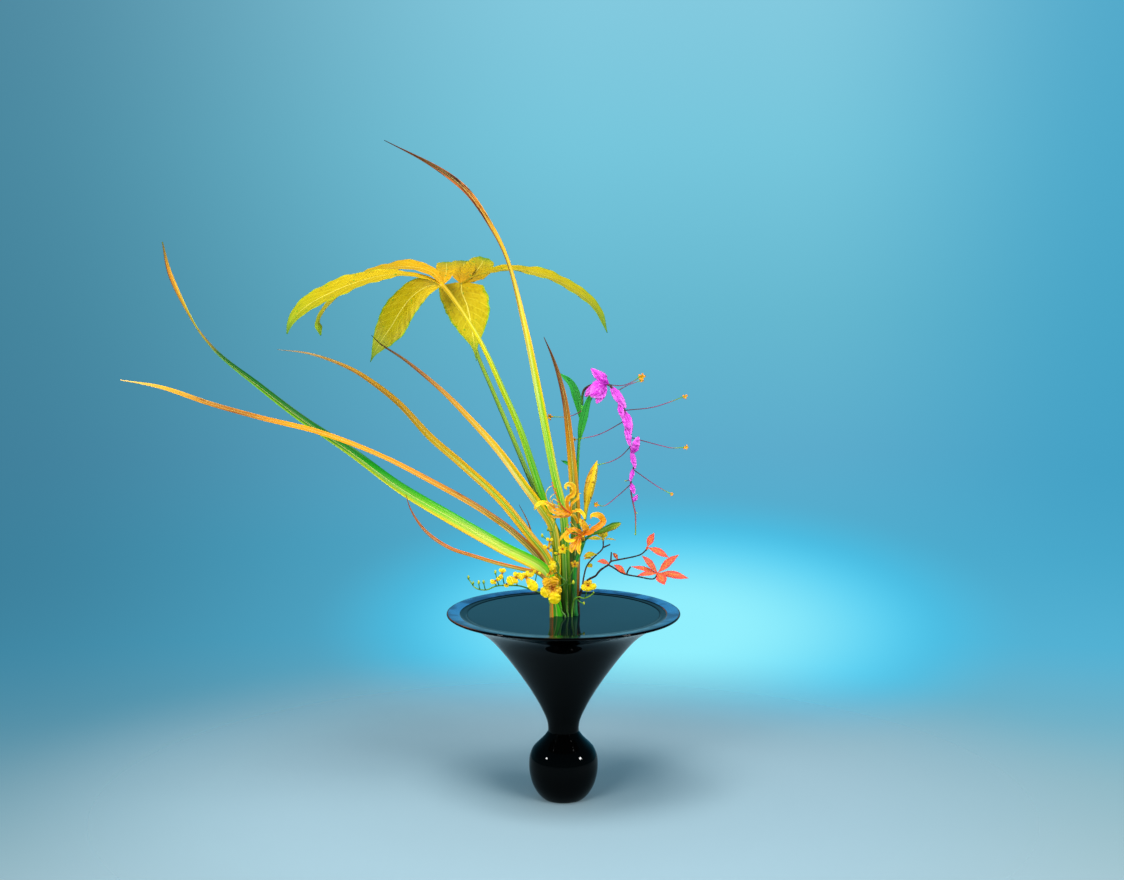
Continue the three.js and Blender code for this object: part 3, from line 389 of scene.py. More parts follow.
# the vase: ball foot, pinched neck, trumpet basin and broad flange
vase = {
    "foot": [(0, 0), (20, 0)],
    "ball": [(25, 0.5), (27.8, 2.6), (33.8, 9.1), (39.5, 19.1), (42.7, 29.1), (44.4, 39.3), (44.6, 49.6),
             (43.3, 59.4), (39.1, 68.8), (31.9, 76.5), (24.4, 84.2), (21.2, 88.6)],
    "crease": [(20.3, 89.8), (19.8, 90.3)],
    "trumpet": [(20, 91), (19.9, 95), (21.1, 103.4), (24.1, 111.8), (28, 120), (32.1, 128.2), (41.7, 144.7),
                (52.4, 161.1), (64.1, 177.6), (76.8, 194.3), (90.8, 210.8), (99, 218.6), (109, 226.2),
                (121, 233.4), (134, 239.4), (145.6, 243)],
    "rim": [(148.4, 244), (149.5, 244.8), (150, 245.8), (149.8, 246.7), (149.1, 247.2), (148.2, 247.3)],
    "flange": [(141, 246.6), (134, 246), (133, 245.8), (132.6, 245.5), (132.2, 245.3), (128, 245.3),
               (124.8, 245.2), (124, 244.8)],
    "basin": [(122.8, 243.6), (111.2, 232.2), (98.8, 222.8), (84, 209.5), (70, 194), (57, 180.5),
              (52, 176.5), (47, 174)],
    "floor": [(24, 174), (0, 174)],
    "flangeTop": (0.1331, 0.1484, 0.2452), "step": 0.1325, "gloss": 0.055, "crispAngle": 50,
    # the two blues are a painted reflection of the backdrop on the flange's top; the edge colour is a
    # painted highlight
    "black": "010101", "smudge": "030404", "reflectedBlue": "4a9cd4", "reflectedDeepBlue": "22588c", "edgeHighlight": "8a4c1c",
    "sides": 160, "ballSteps": 44, "trumpetSteps": 46, "basinSteps": 20,
}


def profilePoints(points, steps):
    route = Route([(radius, height, 0) for radius, height in points])
    return [(route.at(i / steps).x, route.at(i / steps).y) for i in range(steps + 1)]


def spun(bm, profile, sides):
    corners = [bm.verts.new((radius, 0, height)) for radius, height in profile]
    edges = [bm.edges.new(pair) for pair in zip(corners, corners[1:])]
    bmesh.ops.spin(bm, geom=corners + edges, cent=(0, 0, 0), axis=(0, 0, 1), angle=math.tau, steps=sides,
                   use_merge=True)
    bmesh.ops.remove_doubles(bm, verts=bm.verts, dist=shared["weld"])


def crisp(piece):
    # turned things keep sharp edges between their smooth faces
    piece.data.set_sharp_from_angle(angle=math.radians(vase["crispAngle"]))


def vaseSkin():
    # black glaze, with a painted blue reflection of the backdrop on the flange's top, painted shade at its
    # front, and a painted amber highlight on its thin edges
    skin = newSkin("blackGlaze")
    place = skin.objectPlace()
    x, y, z = skin.parts(place)
    radius = (x * x + y * y) ** 0.5
    inner, outer, height = vase["flangeTop"]
    top = skin.between(z, height - 0.0004, height)
    flange = skin.between(radius, inner, inner + 0.0004) * skin.between(radius, outer, outer - 0.0005) * top
    thin = skin.between(skin.noise(place, 11, 1.0), 0.5, 0.62)
    # painted highlight: thin rings on the outer lip and on the step's edge, broken up by noise
    lipHighlight = skin.between(abs(radius - outer - 0.0006), 0.0007, 0.0003) * top
    step = skin.between(abs(radius - vase["step"]), 0.0008, 0.0003) * skin.between(z, 0.2445, 0.245)
    smudge = skin.noise(place, 14, 3.0)
    colour = skin.mix(smudge * 0.6, rgb(vase["black"]), rgb(vase["smudge"]))
    streaks = skin.noise(place, 40, 2.0)
    # painted reflection: the flange's top is painted in streaked blues that stand in for the backdrop's
    # reflection
    paintedReflection = skin.mix(skin.between(streaks, 0.4, 0.65), rgb(vase["reflectedBlue"]), rgb(vase["reflectedDeepBlue"]))
    # painted shade: the front of the flange's painted reflection is darkened to the smudge colour
    paintedReflection = skin.mix(skin.between(y, 0.0, -0.12) * 0.9, paintedReflection, rgb(vase["smudge"]))
    colour = skin.mix(flange, colour, paintedReflection)
    # painted amber highlight on the thin edges
    colour = skin.mix((lipHighlight + step) * thin * 0.6, colour, rgb(vase["edgeHighlight"]))
    roughness = smudge * 0.04 + 0.02 + flange * streaks * 0.3
    return skin.close(colour, roughness, skin.noise(place, 9, 1.0), 0.0003, **{
        "Metallic": flange * 0.85, "Specular IOR Level": vase["gloss"]})


basinWall = profilePoints(vase["basin"], vase["basinSteps"])
bm = newMesh()
spun(bm, [*vase["foot"], *profilePoints(vase["ball"], vase["ballSteps"]), *vase["crease"],
          *profilePoints(vase["trumpet"], vase["trumpetSteps"]), *vase["rim"], *vase["flange"],
          *basinWall, *vase["floor"]], vase["sides"])
crisp(closePiece("vaseBody", bm, vaseSkin(), "vase_glass", "vase"))
print("vase made")

# the water and the pin holder that lies in it
pool = {
    "radius": 123.3, "floorRadius": 46.4, "floor": 174.4, "wallGap": 0.5, "wallFrom": 176, "wallTo": 240,
    "frontShade": "030f14", "backTeal": "0a222b", "gloss": 0.15,
}
holder = {
    "radius": 34, "top": 182.3, "sides": 72, "edge": 3, "rows": 4, "columns": 5, "spacing": 7.4,
    "pin": 0.9, "pinTip": 0.05, "pinHeight": 13, "pinSides": 8, "brass": "b8923e", "tarnish": "5c4a22",
}


def waterSkin():
    # still water over black glaze: it shows what stands in it as a dark mirror, with painted shade
    # darkening its front
    skin = newSkin("water")
    place = skin.objectPlace()
    ripple = skin.noise(place, 26, 2.0)
    _, y, _ = skin.parts(place)
    # painted shade: the water is darker towards the front, under the flange's front edge, and a lighter
    # teal towards the back
    colour = skin.mix(skin.between(y, -0.11, 0.08), rgb(pool["frontShade"]), rgb(pool["backTeal"]))
    return skin.close(colour, ripple * 0.03, ripple, 0.00008,
                      **{"IOR": 1.333, "Specular IOR Level": pool["gloss"]})


def brassSkin():
    skin = newSkin("brass")
    place = skin.objectPlace()
    stain = skin.noise(place, 60, 4.0, 0.6)
    colour = skin.mix(skin.between(stain, 0.45, 0.7), rgb(holder["brass"]), rgb(holder["tarnish"]))
    return skin.close(colour, stain * 0.4 + 0.18, stain, 0.0002, **{"Metallic": 1.0})


bm = newMesh()
wall = [(radius - pool["wallGap"], height) for radius, height in reversed(basinWall)
        if pool["wallFrom"] < height < pool["wallTo"]]
spun(bm, [(0, pool["floor"]), (pool["floorRadius"], pool["floor"]), *wall,
          (pool["radius"], shared["waterLevel"]), (0, shared["waterLevel"])], vase["sides"])
crisp(closePiece("waterBody", bm, waterSkin(), "water", "water"))

bm = newMesh()
edge, top, bottom = holder["radius"], holder["top"], pool["floor"]
spun(bm, [(0, bottom), (edge - 0.6, bottom), (edge, bottom + 0.6), (edge, top - 1.2), (edge - 1.2, top),
          (0, top)], holder["sides"])
for row in range(-holder["rows"], holder["rows"] + 1):
    for column in range(-holder["columns"], holder["columns"] + 1):
        x = (column + (row % 2) / 2) * holder["spacing"]
        y = row * holder["spacing"] * math.sin(math.radians(60))
        if math.hypot(x, y) < edge - holder["edge"]:
            up = Matrix.Translation((x, y, top + holder["pinHeight"] / 2 - 0.5))
            bmesh.ops.create_cone(bm, cap_ends=True, segments=holder["pinSides"], radius1=holder["pin"],
                                  radius2=holder["pinTip"], depth=holder["pinHeight"] + 1, matrix=up)
crisp(closePiece("pinHolder", bm, brassSkin(), "pin_brass", "pin_holder"))
print("water and pin holder made")

# long strap leaves: a route from foot to tip, then the width and the turn in degrees at stations
# along it, from 0 at the foot to 1 at the tip
strapLeaves = {
    "tall": {
        "slot": "leaf_olive",
        "points": [*footing(6, -1.5), (3.6, -1, 300), (-0.6, 0, 377), (-12, 2, 428), (-30, 8, 520),
                   (-50, 16, 615), (-74, 26, 703), (-97, 33, 747), (-119, 40, 779), (-138, 45, 797),
                   (-170, 50, 818.5), (-228, 60, 847)],
        "width": [(0, 10.5), (0.33, 10.5), (0.46, 10), (0.7, 8), (0.86, 8.5), (0.92, 6), (1, 0.4)],
        "turn": [(0, 0), (0.4, 8), (0.58, 35), (0.7, 58), (0.8, 35), (0.86, 5), (0.92, -45), (1, -55)],
        "look": {
            # the near-black stops at the foot of these ramps are painted shade where the stems crowd into
            # the vase mouth
            "low": [(0, "0c2a08"), (0.1, "1c4a08"), (0.18, "6a9a10"), (0.45, "b4c810"), (0.58, "c89a10"),
                    (0.68, "8a4a08"), (0.8, "7a3208"), (0.87, "b85c10"), (1, "3a2010")],
            "middle": [(0, "0a2406"), (0.09, "123c08"), (0.17, "3a8c10"), (0.3, "5ab010"), (0.45, "86bc0c"),
                       (0.58, "d8c806"), (0.7, "ecc008"), (0.8, "a85a08"), (0.87, "4e2a08"),
                       (0.94, "8a480c"), (1, "1c1408")],
            "high": [(0, "0c2a08"), (0.1, "1c4a08"), (0.2, "8cb010"), (0.45, "d8bc08"), (0.6, "f0b808"),
                     (0.74, "f0b010"), (0.84, "c86010"), (1, "2a1c0c")],
            "patches": ("3a1c08", 0.78, 0.95, 0.52), "shade": "8a7030",
        },
    },
    "longLeft": {
        "slot": "leaf_green", "node": "strap_leaf_long_left",
        "points": [*footing(-8.5, -13.5), (-13, -13.5, 272), (-23.6, -14, 303), (-80.6, -20, 337),
                   (-143, -28, 375), (-206, -35, 414), (-267, -42, 461), (-329, -50, 505), (-377, -55, 544),
                   (-432, -62, 591), (-460, -66, 632), (-483, -70, 685), (-491, -72, 726)],
        "width": [(0, 13), (0.16, 16), (0.34, 16), (0.6, 13), (0.83, 9.5), (0.94, 8.5), (1, 0.4)],
        "turn": [(0, 0), (0.34, 10), (0.45, 35), (0.6, 50), (0.72, 55), (0.83, 84), (0.9, 130), (0.95, 160),
                 (1, 180)],
        "look": {
            "low": [(0, "2f9010"), (0.11, "58b010"), (0.17, "d4b80c"), (0.3, "dcb00c"), (0.42, "c8c410"),
                    (0.6, "8ab810"), (0.79, "5a9a10"), (0.85, "c8c410"), (0.93, "e4a010"), (1, "5a4a18")],
            # the pale yellow-green middle stops from 0.18 to 0.36 are a painted highlight where the leaf's
            # fold catches the light
            "middle": [(0, "30a010"), (0.11, "44b414"), (0.18, "b4d840"), (0.27, "c8dc48"),
                       (0.36, "7cc428"), (0.48, "269a18"), (0.6, "0c7014"), (0.8, "0a5c10"),
                       (0.84, "e0a010"), (0.95, "dc8810"), (1, "2f5a18")],
            "high": [(0, "2f9010"), (0.14, "5ccc10"), (0.34, "3cb818"), (0.48, "178618"), (0.6, "0a6012"),
                     (0.8, "0a5010"), (0.85, "b45c10"), (0.93, "9a4a10"), (1, "6a3a18")],
            "shade": "5c8a38",
        },
    },
    "farLeft": {
        "slot": "leaf_orange", "node": "strap_leaf_far_left",
        "points": [*footing(-11, -7.5), (-18, -7.5, 285), (-30, -8, 317), (-62, -14, 352), (-106, -24, 386),
                   (-168, -38, 424), (-229, -52, 458), (-302, -66, 489), (-375, -76, 509),
                   (-435, -84, 527.5), (-495, -90, 549), (-543, -94, 558.5)],
        "width": [(0, 8), (0.19, 9), (0.33, 8), (0.54, 7.4), (0.75, 7.4), (0.92, 6), (1, 0.4)],
        "turn": [(0, 0), (0.33, 22), (0.54, 52), (0.65, 38), (0.75, 45), (1, 30)],
        "look": {
            "low": [(0, "5a8a10"), (0.16, "7a8c10"), (0.3, "c89410"), (0.45, "d89010"), (0.7, "e8a018"),
                    (0.8, "8a4a08"), (0.9, "d8980f"), (1, "e4bc60")],
            "middle": [(0, "3a5a08"), (0.14, "6a6008"), (0.3, "8a6408"), (0.45, "d4880c"), (0.6, "ec980e"),
                       (0.7, "e08c0e"), (0.78, "9a540a"), (0.86, "a8640c"), (0.93, "dca014"),
                       (1, "e8bc5c")],
            "high": [(0, "8a5a10"), (0.16, "a05008"), (0.34, "a85408"), (0.5, "e89810"), (0.7, "f0a010"),
                     (0.82, "a86010"), (0.92, "e8ac18"), (1, "e8c060")],
            "patches": ("6a3408", 0.3, 0.9, 0.6), "shade": "a07838",
        },
    },
    "middleLeft": {
        "slot": "leaf_olive", "node": "strap_leaf_middle_left",
        "points": [*footing(-9, -1.5), (-18.5, -1, 312.7), (-43, 2, 346), (-81, 8, 392), (-132, 16, 438),
                   (-171, 22, 471), (-209, 28, 511.5), (-241, 33, 537), (-273.5, 38, 557), (-325, 46, 575),
                   (-368, 54, 580)],
        "width": [(0, 11), (0.3, 11.5), (0.6, 9.5), (0.78, 7.5), (0.92, 3.5), (1, 0.4)],
        "turn": [(0, 0), (0.3, 6), (0.6, 25), (0.8, 40), (1, 55)],
        "look": {
            "low": [(0, "6a7a10"), (0.12, "c0ac04"), (0.3, "dca804"), (0.6, "b08a04"), (0.8, "a06c04"),
                    (1, "8a7a58")],
            "middle": [(0, "2a5a08"), (0.12, "8cb80c"), (0.25, "5ca80c"), (0.42, "78a408"),
                       (0.58, "a88c0c"), (0.7, "b4760c"), (0.84, "c47c10"), (0.95, "a07840"),
                       (1, "7a8470")],
            "high": [(0, "8a7a10"), (0.12, "c8a404"), (0.25, "e4a408"), (0.42, "dca404"), (0.6, "c09004"),
                     (0.84, "c88a08"), (1, "8a7a58")],
            "patches": ("7a5a10", 0.4, 0.75, 0.66), "spread": (0.05, 0.5),
        },
    },
    "upperLeft": {
        "slot": "leaf_orange", "node": "strap_leaf_upper_left",
        "points": [*footing(-9, 3), (-13, 1, 354), (-30, -1, 384), (-55, -2, 419), (-81, -6, 455),
                   (-118, -12, 498), (-155, -18, 537), (-199, -25, 575), (-229, -29, 596),
                   (-240, -30, 607)],
        "width": [(0, 11), (0.35, 11.5), (0.6, 9.5), (0.85, 6), (0.95, 3), (1, 0.4)],
        "turn": [(0, 0), (0.35, 5), (0.6, 30), (0.85, 45), (1, 60)],
        "look": {
            "low": [(0, "4a6a10"), (0.2, "b89a08"), (0.5, "d8a804"), (0.7, "c89404"), (0.85, "6a3004"),
                    (0.96, "3a1804"), (1, "100c08")],
            "middle": [(0, "3a6a08"), (0.2, "6a9408"), (0.45, "a0a404"), (0.62, "d0a804"), (0.74, "c88404"),
                       (0.84, "8a4404"), (0.95, "4a2004"), (1, "100c08")],
            "high": [(0, "7a8010"), (0.25, "dcb404"), (0.5, "ecb404"), (0.7, "e4a004"), (0.85, "9a5004"),
                     (1, "181008")],
            "patches": ("5a7a10", 0.1, 0.45, 0.62), "shade": "a08038",
        },
    },
    "lowBrown": {
        "slot": "leaf_rust", "node": "strap_leaf_low_brown",
        "points": [*footing(-15.5, -20), (-18, -20.5, 285), (-31, -22, 301.5), (-55, -26, 309),
                   (-80, -31, 316), (-118, -38, 329), (-143, -44, 339), (-168, -50, 357), (-182, -54, 374),
                   (-192, -57, 393), (-197, -60, 411)],
        "width": [(0, 4.6), (0.5, 5.2), (0.8, 4.6), (1, 0.4)],
        "turn": [(0, 0), (0.4, 20), (0.7, 35), (0.9, 10), (1, 0)],
        "look": {
            "low": [(0, "8a7410"), (0.3, "5a7a10"), (0.5, "7a8410"), (0.7, "b07010"), (1, "8a3c10")],
            "middle": [(0, "8a6410"), (0.3, "906410"), (0.5, "a8680c"), (0.7, "b85a0c"), (0.88, "a8480c"),
                       (1, "7a3010")],
            "high": [(0, "c87a14"), (0.4, "e07c14"), (0.7, "d8701a"), (0.9, "b85414"), (1, "8a3810")],
            "patches": ("5a2c0c", 0.3, 0.95, 0.58), "shade": "a06838",
        },
    },
    "right": {
        "slot": "leaf_orange",
        "points": [*footing(14, 5), (14.8, 6, 314), (16, 4, 366), (12, 2, 431), (7, 0, 483), (2, -2, 522),
                   (-5.7, -4, 554), (-14.5, -6, 579.6), (-24.6, -8, 602.6)],
        "width": [(0, 13), (0.4, 13.5), (0.6, 11.5), (0.85, 7), (0.94, 4), (1, 0.4)],
        "turn": [(0, 0), (0.6, -8), (0.85, -25), (1, -40)],
        "look": {
            # the near-black low and middle stops up to about a third of the way are painted shade where the
            # stems crowd into the vase mouth
            "low": [(0, "0c2408"), (0.28, "1c5010"), (0.46, "6a7c0c"), (0.58, "c89404"), (0.7, "b87404"),
                    (0.8, "703404"), (1, "4a2004")],
            "middle": [(0, "0a2006"), (0.3, "144a0c"), (0.46, "3c740c"), (0.58, "7a8208"), (0.68, "a87004"),
                       (0.8, "884804"), (0.9, "6a3204"), (1, "3a1c04")],
            "high": [(0, "8a4c14"), (0.16, "a86014"), (0.3, "9a6414"), (0.5, "d89408"), (0.7, "c88008"),
                     (0.86, "a05008"), (1, "5a2c08")],
            "patches": ("8a4a0c", 0.3, 0.75, 0.6), "spread": (0.05, 0.6), "shade": "8a7038",
        },
    },
    "tendril": {
        "slot": "leaf_rust",
        "points": [*footing(-9, 9.5), (-22.4, 8, 313.5), (-39, 12, 343), (-45.5, 14, 362), (-52, 15, 375),
                   (-57, 16, 384)],
        "width": [(0, 3), (0.7, 3.4), (1, 0.6)],
        "turn": 0,
        "look": {"middle": [(0, "6a8a10"), (0.5, "c0781a"), (0.84, "b8681a"), (1, "4a3c38")]},
    },
}
for name, leaf in strapLeaves.items():
    bm = newMesh()
    strip(bm, leaf["points"], leaf["width"], turn=leaf["turn"], fold=0.36, steps=150, ring=16, crinkle=0.25,
          seed=len(name))
    closePiece(f"strapLeaf_{name}", bm,
               leafSkin(f"strap_{name}", {"rib": (0.07, "d8d070"), **leaf["look"]}), leaf["slot"],
               leaf.get("node", f"strap_leaf_{name}"))
print("strap leaves made")

# palmate leaves: a stout stalk with pointed leaflets round its top
palmate = {
    "front": {
        "stalk": [*footing(1.5, 8), (-4, 8, 333), (-17, 8, 366), (-34, 4, 418), (-55, -6, 484),
                  (-74, -13, 530), (-105, -24, 600), (-141, -35, 658), (-153, -38, 673)],
        "radius": [(0, 4.6), (0.25, 5.6), (0.45, 4.8), (0.7, 3.5), (0.9, 2.4), (1, 3)],
        "stalkLook": {
            # the near-black stops at the foot of these ramps are painted shade where the stems crowd into
            # the vase mouth
            "low": [(0, "0c2a08"), (0.12, "1c4a08"), (0.24, "3a9010"), (0.4, "84c410"), (0.6, "c8d408"),
                    (0.8, "f0d404"), (1, "e8b808")],
            "middle": [(0, "0a2406"), (0.12, "144008"), (0.24, "289008"), (0.5, "50b00c"), (0.7, "b8cc08"),
                       (0.85, "f0d804"), (1, "e0a808")],
            "high": [(0, "0c2a08"), (0.12, "1c4a08"), (0.24, "3a9810"), (0.4, "70bc18"), (0.6, "8cc410"),
                     (0.8, "b8c808"), (0.92, "d8c008"), (1, "c89808")],
            "spread": (0.3, 0.9),
        },
        "leaflets": [
            {"points": [(-151, -38, 671), (-172, -38, 680), (-198, -42, 684), (-225, -48, 682.5),
                        (-261, -60, 673.5), (-277, -65, 667), (-303, -73, 655), (-323, -79, 641),
                        (-335, -83, 626), (-339, -84, 614)],
             "width": [(0, 3), (0.08, 7), (0.25, 18), (0.45, 38), (0.62, 43), (0.8, 36), (0.92, 16),
                       (1, 0.4)],
             "face": (-0.1, -0.4, 0.9), "tint": 0.45},
            {"points": [(-151, -37, 672), (-161, -34, 684), (-174, -28, 689.5), (-202, -14, 691.5),
                        (-227, -4, 686), (-259, 8, 671.8), (-288, 16, 650), (-304, 19, 633),
                        (-311, 20, 619), (-308.6, 21, 601.6)],
             "width": [(0, 3), (0.06, 14), (0.2, 30), (0.45, 42), (0.62, 40), (0.82, 27), (0.93, 14),
                       (1, 0.4)],
             "face": (-0.2, -0.24, 0.95), "tint": 0.95},
            {"points": [(-151, -38, 672), (-170, -36, 668), (-189, -32, 655), (-204, -26, 636),
                        (-216, -20, 616.5), (-225.5, -14, 603), (-237.5, -9, 584), (-243.5, -6, 570.7)],
             "width": [(0, 4), (0.07, 17), (0.2, 33), (0.42, 42), (0.6, 43), (0.74, 32), (0.86, 15),
                       (0.93, 5), (1, 0.4)],
             "face": (-0.25, -0.9, 0.3), "tint": 0.1},
            {"points": [(-149, -36, 672), (-147, -12, 683), (-148, 20, 690), (-150, 46, 693)],
             "width": [(0, 3), (0.15, 16), (0.45, 27), (0.85, 24), (1, 5)],
             "face": (0, -0.45, 1), "tint": 1.0},
        ],
    },
    "back": {
        "stalk": [*footing(0, 17), (-10, 19, 332), (-26, 22, 377), (-40, 23, 409), (-56, 26, 447),
                  (-75, 32, 492), (-94, 38, 536), (-110, 43, 574), (-124, 50, 625), (-131, 55, 665)],
        "radius": [(0, 3.4), (0.5, 3.1), (0.9, 2.3), (1, 3)],
        "stalkLook": {
            # the near-black stops at the foot of these ramps are painted shade where the stems crowd into
            # the vase mouth
            "low": [(0, "0a2008"), (0.2, "205010"), (0.5, "3c6c18"), (0.8, "5a7a20"), (1, "6a6018")],
            "middle": [(0, "0a2008"), (0.2, "2a6a10"), (0.5, "68942c"), (0.8, "8cac28"), (1, "8a7a20")],
            "high": [(0, "0a2008"), (0.2, "307410"), (0.5, "80a834"), (0.8, "a0b830"), (1, "a89028")],
        },
        "leaflets": [
            {"points": [(-131, 54, 665), (-107, 56, 677), (-68, 56, 683), (-24, 54, 675), (15, 50, 656),
                        (43, 46, 632), (56, 42, 603)],
             "width": [(0, 3), (0.1, 8), (0.25, 26), (0.5, 40), (0.75, 34), (0.92, 12), (1, 0.4)],
             "face": (0.15, -0.22, 0.95), "tint": 0.2},
            {"points": [(-131, 55, 666), (-130, 42, 655.5), (-122.5, 26, 639), (-118, 14, 621),
                        (-114.3, 2, 602.8), (-111.6, -5, 587), (-109.8, -8, 572)],
             "width": [(0, 10), (0.07, 56), (0.2, 58), (0.36, 58), (0.52, 50), (0.68, 32), (0.82, 11),
                       (0.9, 4), (1, 0.4)],
             "face": (0, -0.9, 0.45), "tint": 0.15},
            {"points": [(-131, 56, 666), (-130.5, 84, 677), (-130, 112, 685), (-129, 138, 688)],
             "width": [(0, 6), (0.15, 24), (0.45, 34), (0.85, 30), (1, 10)],
             "face": (0, -0.5, 1), "tint": 1.0},
            {"points": [(-130, 56, 666), (-117, 84, 674), (-108, 112, 684), (-104, 138, 692)],
             "width": [(0, 6), (0.15, 26), (0.45, 38), (0.85, 30), (1, 12)],
             "face": (0.2, -0.5, 1), "tint": 0.9},
        ],
    },
}
leafletLook = {
    "low": [(0, "98a008"), (0.4, "58a80c"), (0.8, "40a810"), (1, "2a9a10")],
    "middle": [(0, "c09c04"), (0.3, "b8a002"), (0.7, "aea002"), (0.92, "7c980a"), (1, "2a7a10")],
    "high": [(0, "98a008"), (0.4, "70a80c"), (0.8, "48b010"), (1, "2a9a10")],
    "tinted": [(0, "d49406"), (0.5, "c49a04"), (0.85, "ac9a04"), (1, "5a9010")],
    "spread": (0.86, 1.0), "rib": (0.035, "e8d458"), "veins": (11, 2.4, 0.25, "d4c42c"),
    "specks": (230, 0.7, "3c8c10"), "streaks": (16, 14, 0.3), "shade": "a89840", "light": "d8c830",
    "rough": (0.5, 0.7), "depth": 0.0003,
}
for name, leaf in palmate.items():
    bm = newMesh()
    rod(bm, leaf["stalk"], leaf["radius"], steps=90, ring=20, ridges=5, ridgeDepth=0.05)
    closePiece(f"palmateStalk_{name}", bm, leafSkin(f"palmateStalk_{name}", leaf["stalkLook"]),
               "leaf_yellow", f"palmate_leaf_{name}")
    bm = newMesh()
    for i, leaflet in enumerate(leaf["leaflets"]):
        strip(bm, leaflet["points"], leaflet["width"], face=leaflet["face"], fold=0.16, thick=0.7,
              steps=110, ring=44, wave=1.1, waves=4, pleats=11, pleatDepth=0.5, crinkle=0.4,
              tint=leaflet["tint"], seed=i)
    closePiece(f"leaflets_{name}", bm, leafSkin(f"leaflets_{name}", leafletLook), "leaf_yellow",
               f"palmate_leaf_{name}")
print("palmate leaves made")

# ginger: a leafy stem, and its hanging spray of magenta bracts with small flowers
gingerTop = (23.6, 20, 512.5)
gingerStem = {
    "points": [*footing(10, 13), (13.6, 14, 260), (16, 16, 338), (17.3, 17, 390), (17.9, 18, 433),
               (21, 19, 480.5), gingerTop],
    "radius": [(0, 2.2), (1, 1.8)],
    "leaves": [
        {"points": [(20.2, 19, 466), (22, 14, 480), (28, 6, 508), (36, 1, 534)], "broad": 11},
        {"points": [(22.6, 20.4, 492), (19, 26.5, 514), (10, 30, 539), (-7, 34, 553)], "broad": 11.5},
        {"points": [(17.8, 18, 428), (10, 21, 435), (-3, 26, 440)], "broad": 6},
    ],
    # the near-black stops at the foot are painted shade where the stems crowd into the vase mouth
    "look": {"middle": [(0, "0c2c0a"), (0.2, "185c14"), (0.5, "2f9c28"), (1, "50bc38")],
             "low": [(0, "0a240a"), (0.25, "165012"), (1, "1f7c24")]},
    "leafLook": {"middle": [(0, "4ab430"), (0.4, "34a03a"), (1, "2a8c34")],
                 "low": [(0, "3cac30"), (1, "218a34")], "rib": (0.1, "1a6a24"), "streaks": (14, 3, 0.4),
                 "shade": "6a9a58", "light": "78d060"},
}
bm = newMesh()
rod(bm, gingerStem["points"], gingerStem["radius"], steps=80, ring=14)
closePiece("gingerStem", bm, leafSkin("gingerStem", gingerStem["look"]), "stem_green", "ginger_stem")
bm = newMesh()
for leaf in gingerStem["leaves"]:
    broad = leaf["broad"]
    width = [(0, 3), (0.25, broad * 0.8), (0.5, broad), (0.8, broad * 0.6), (1, 0.4)]
    strip(bm, leaf["points"], width, fold=0.35, thick=0.7, steps=50, ring=20)
closePiece("gingerLeaves", bm, leafSkin("gingerLeaves", gingerStem["leafLook"]), "stem_green",
           "ginger_stem")

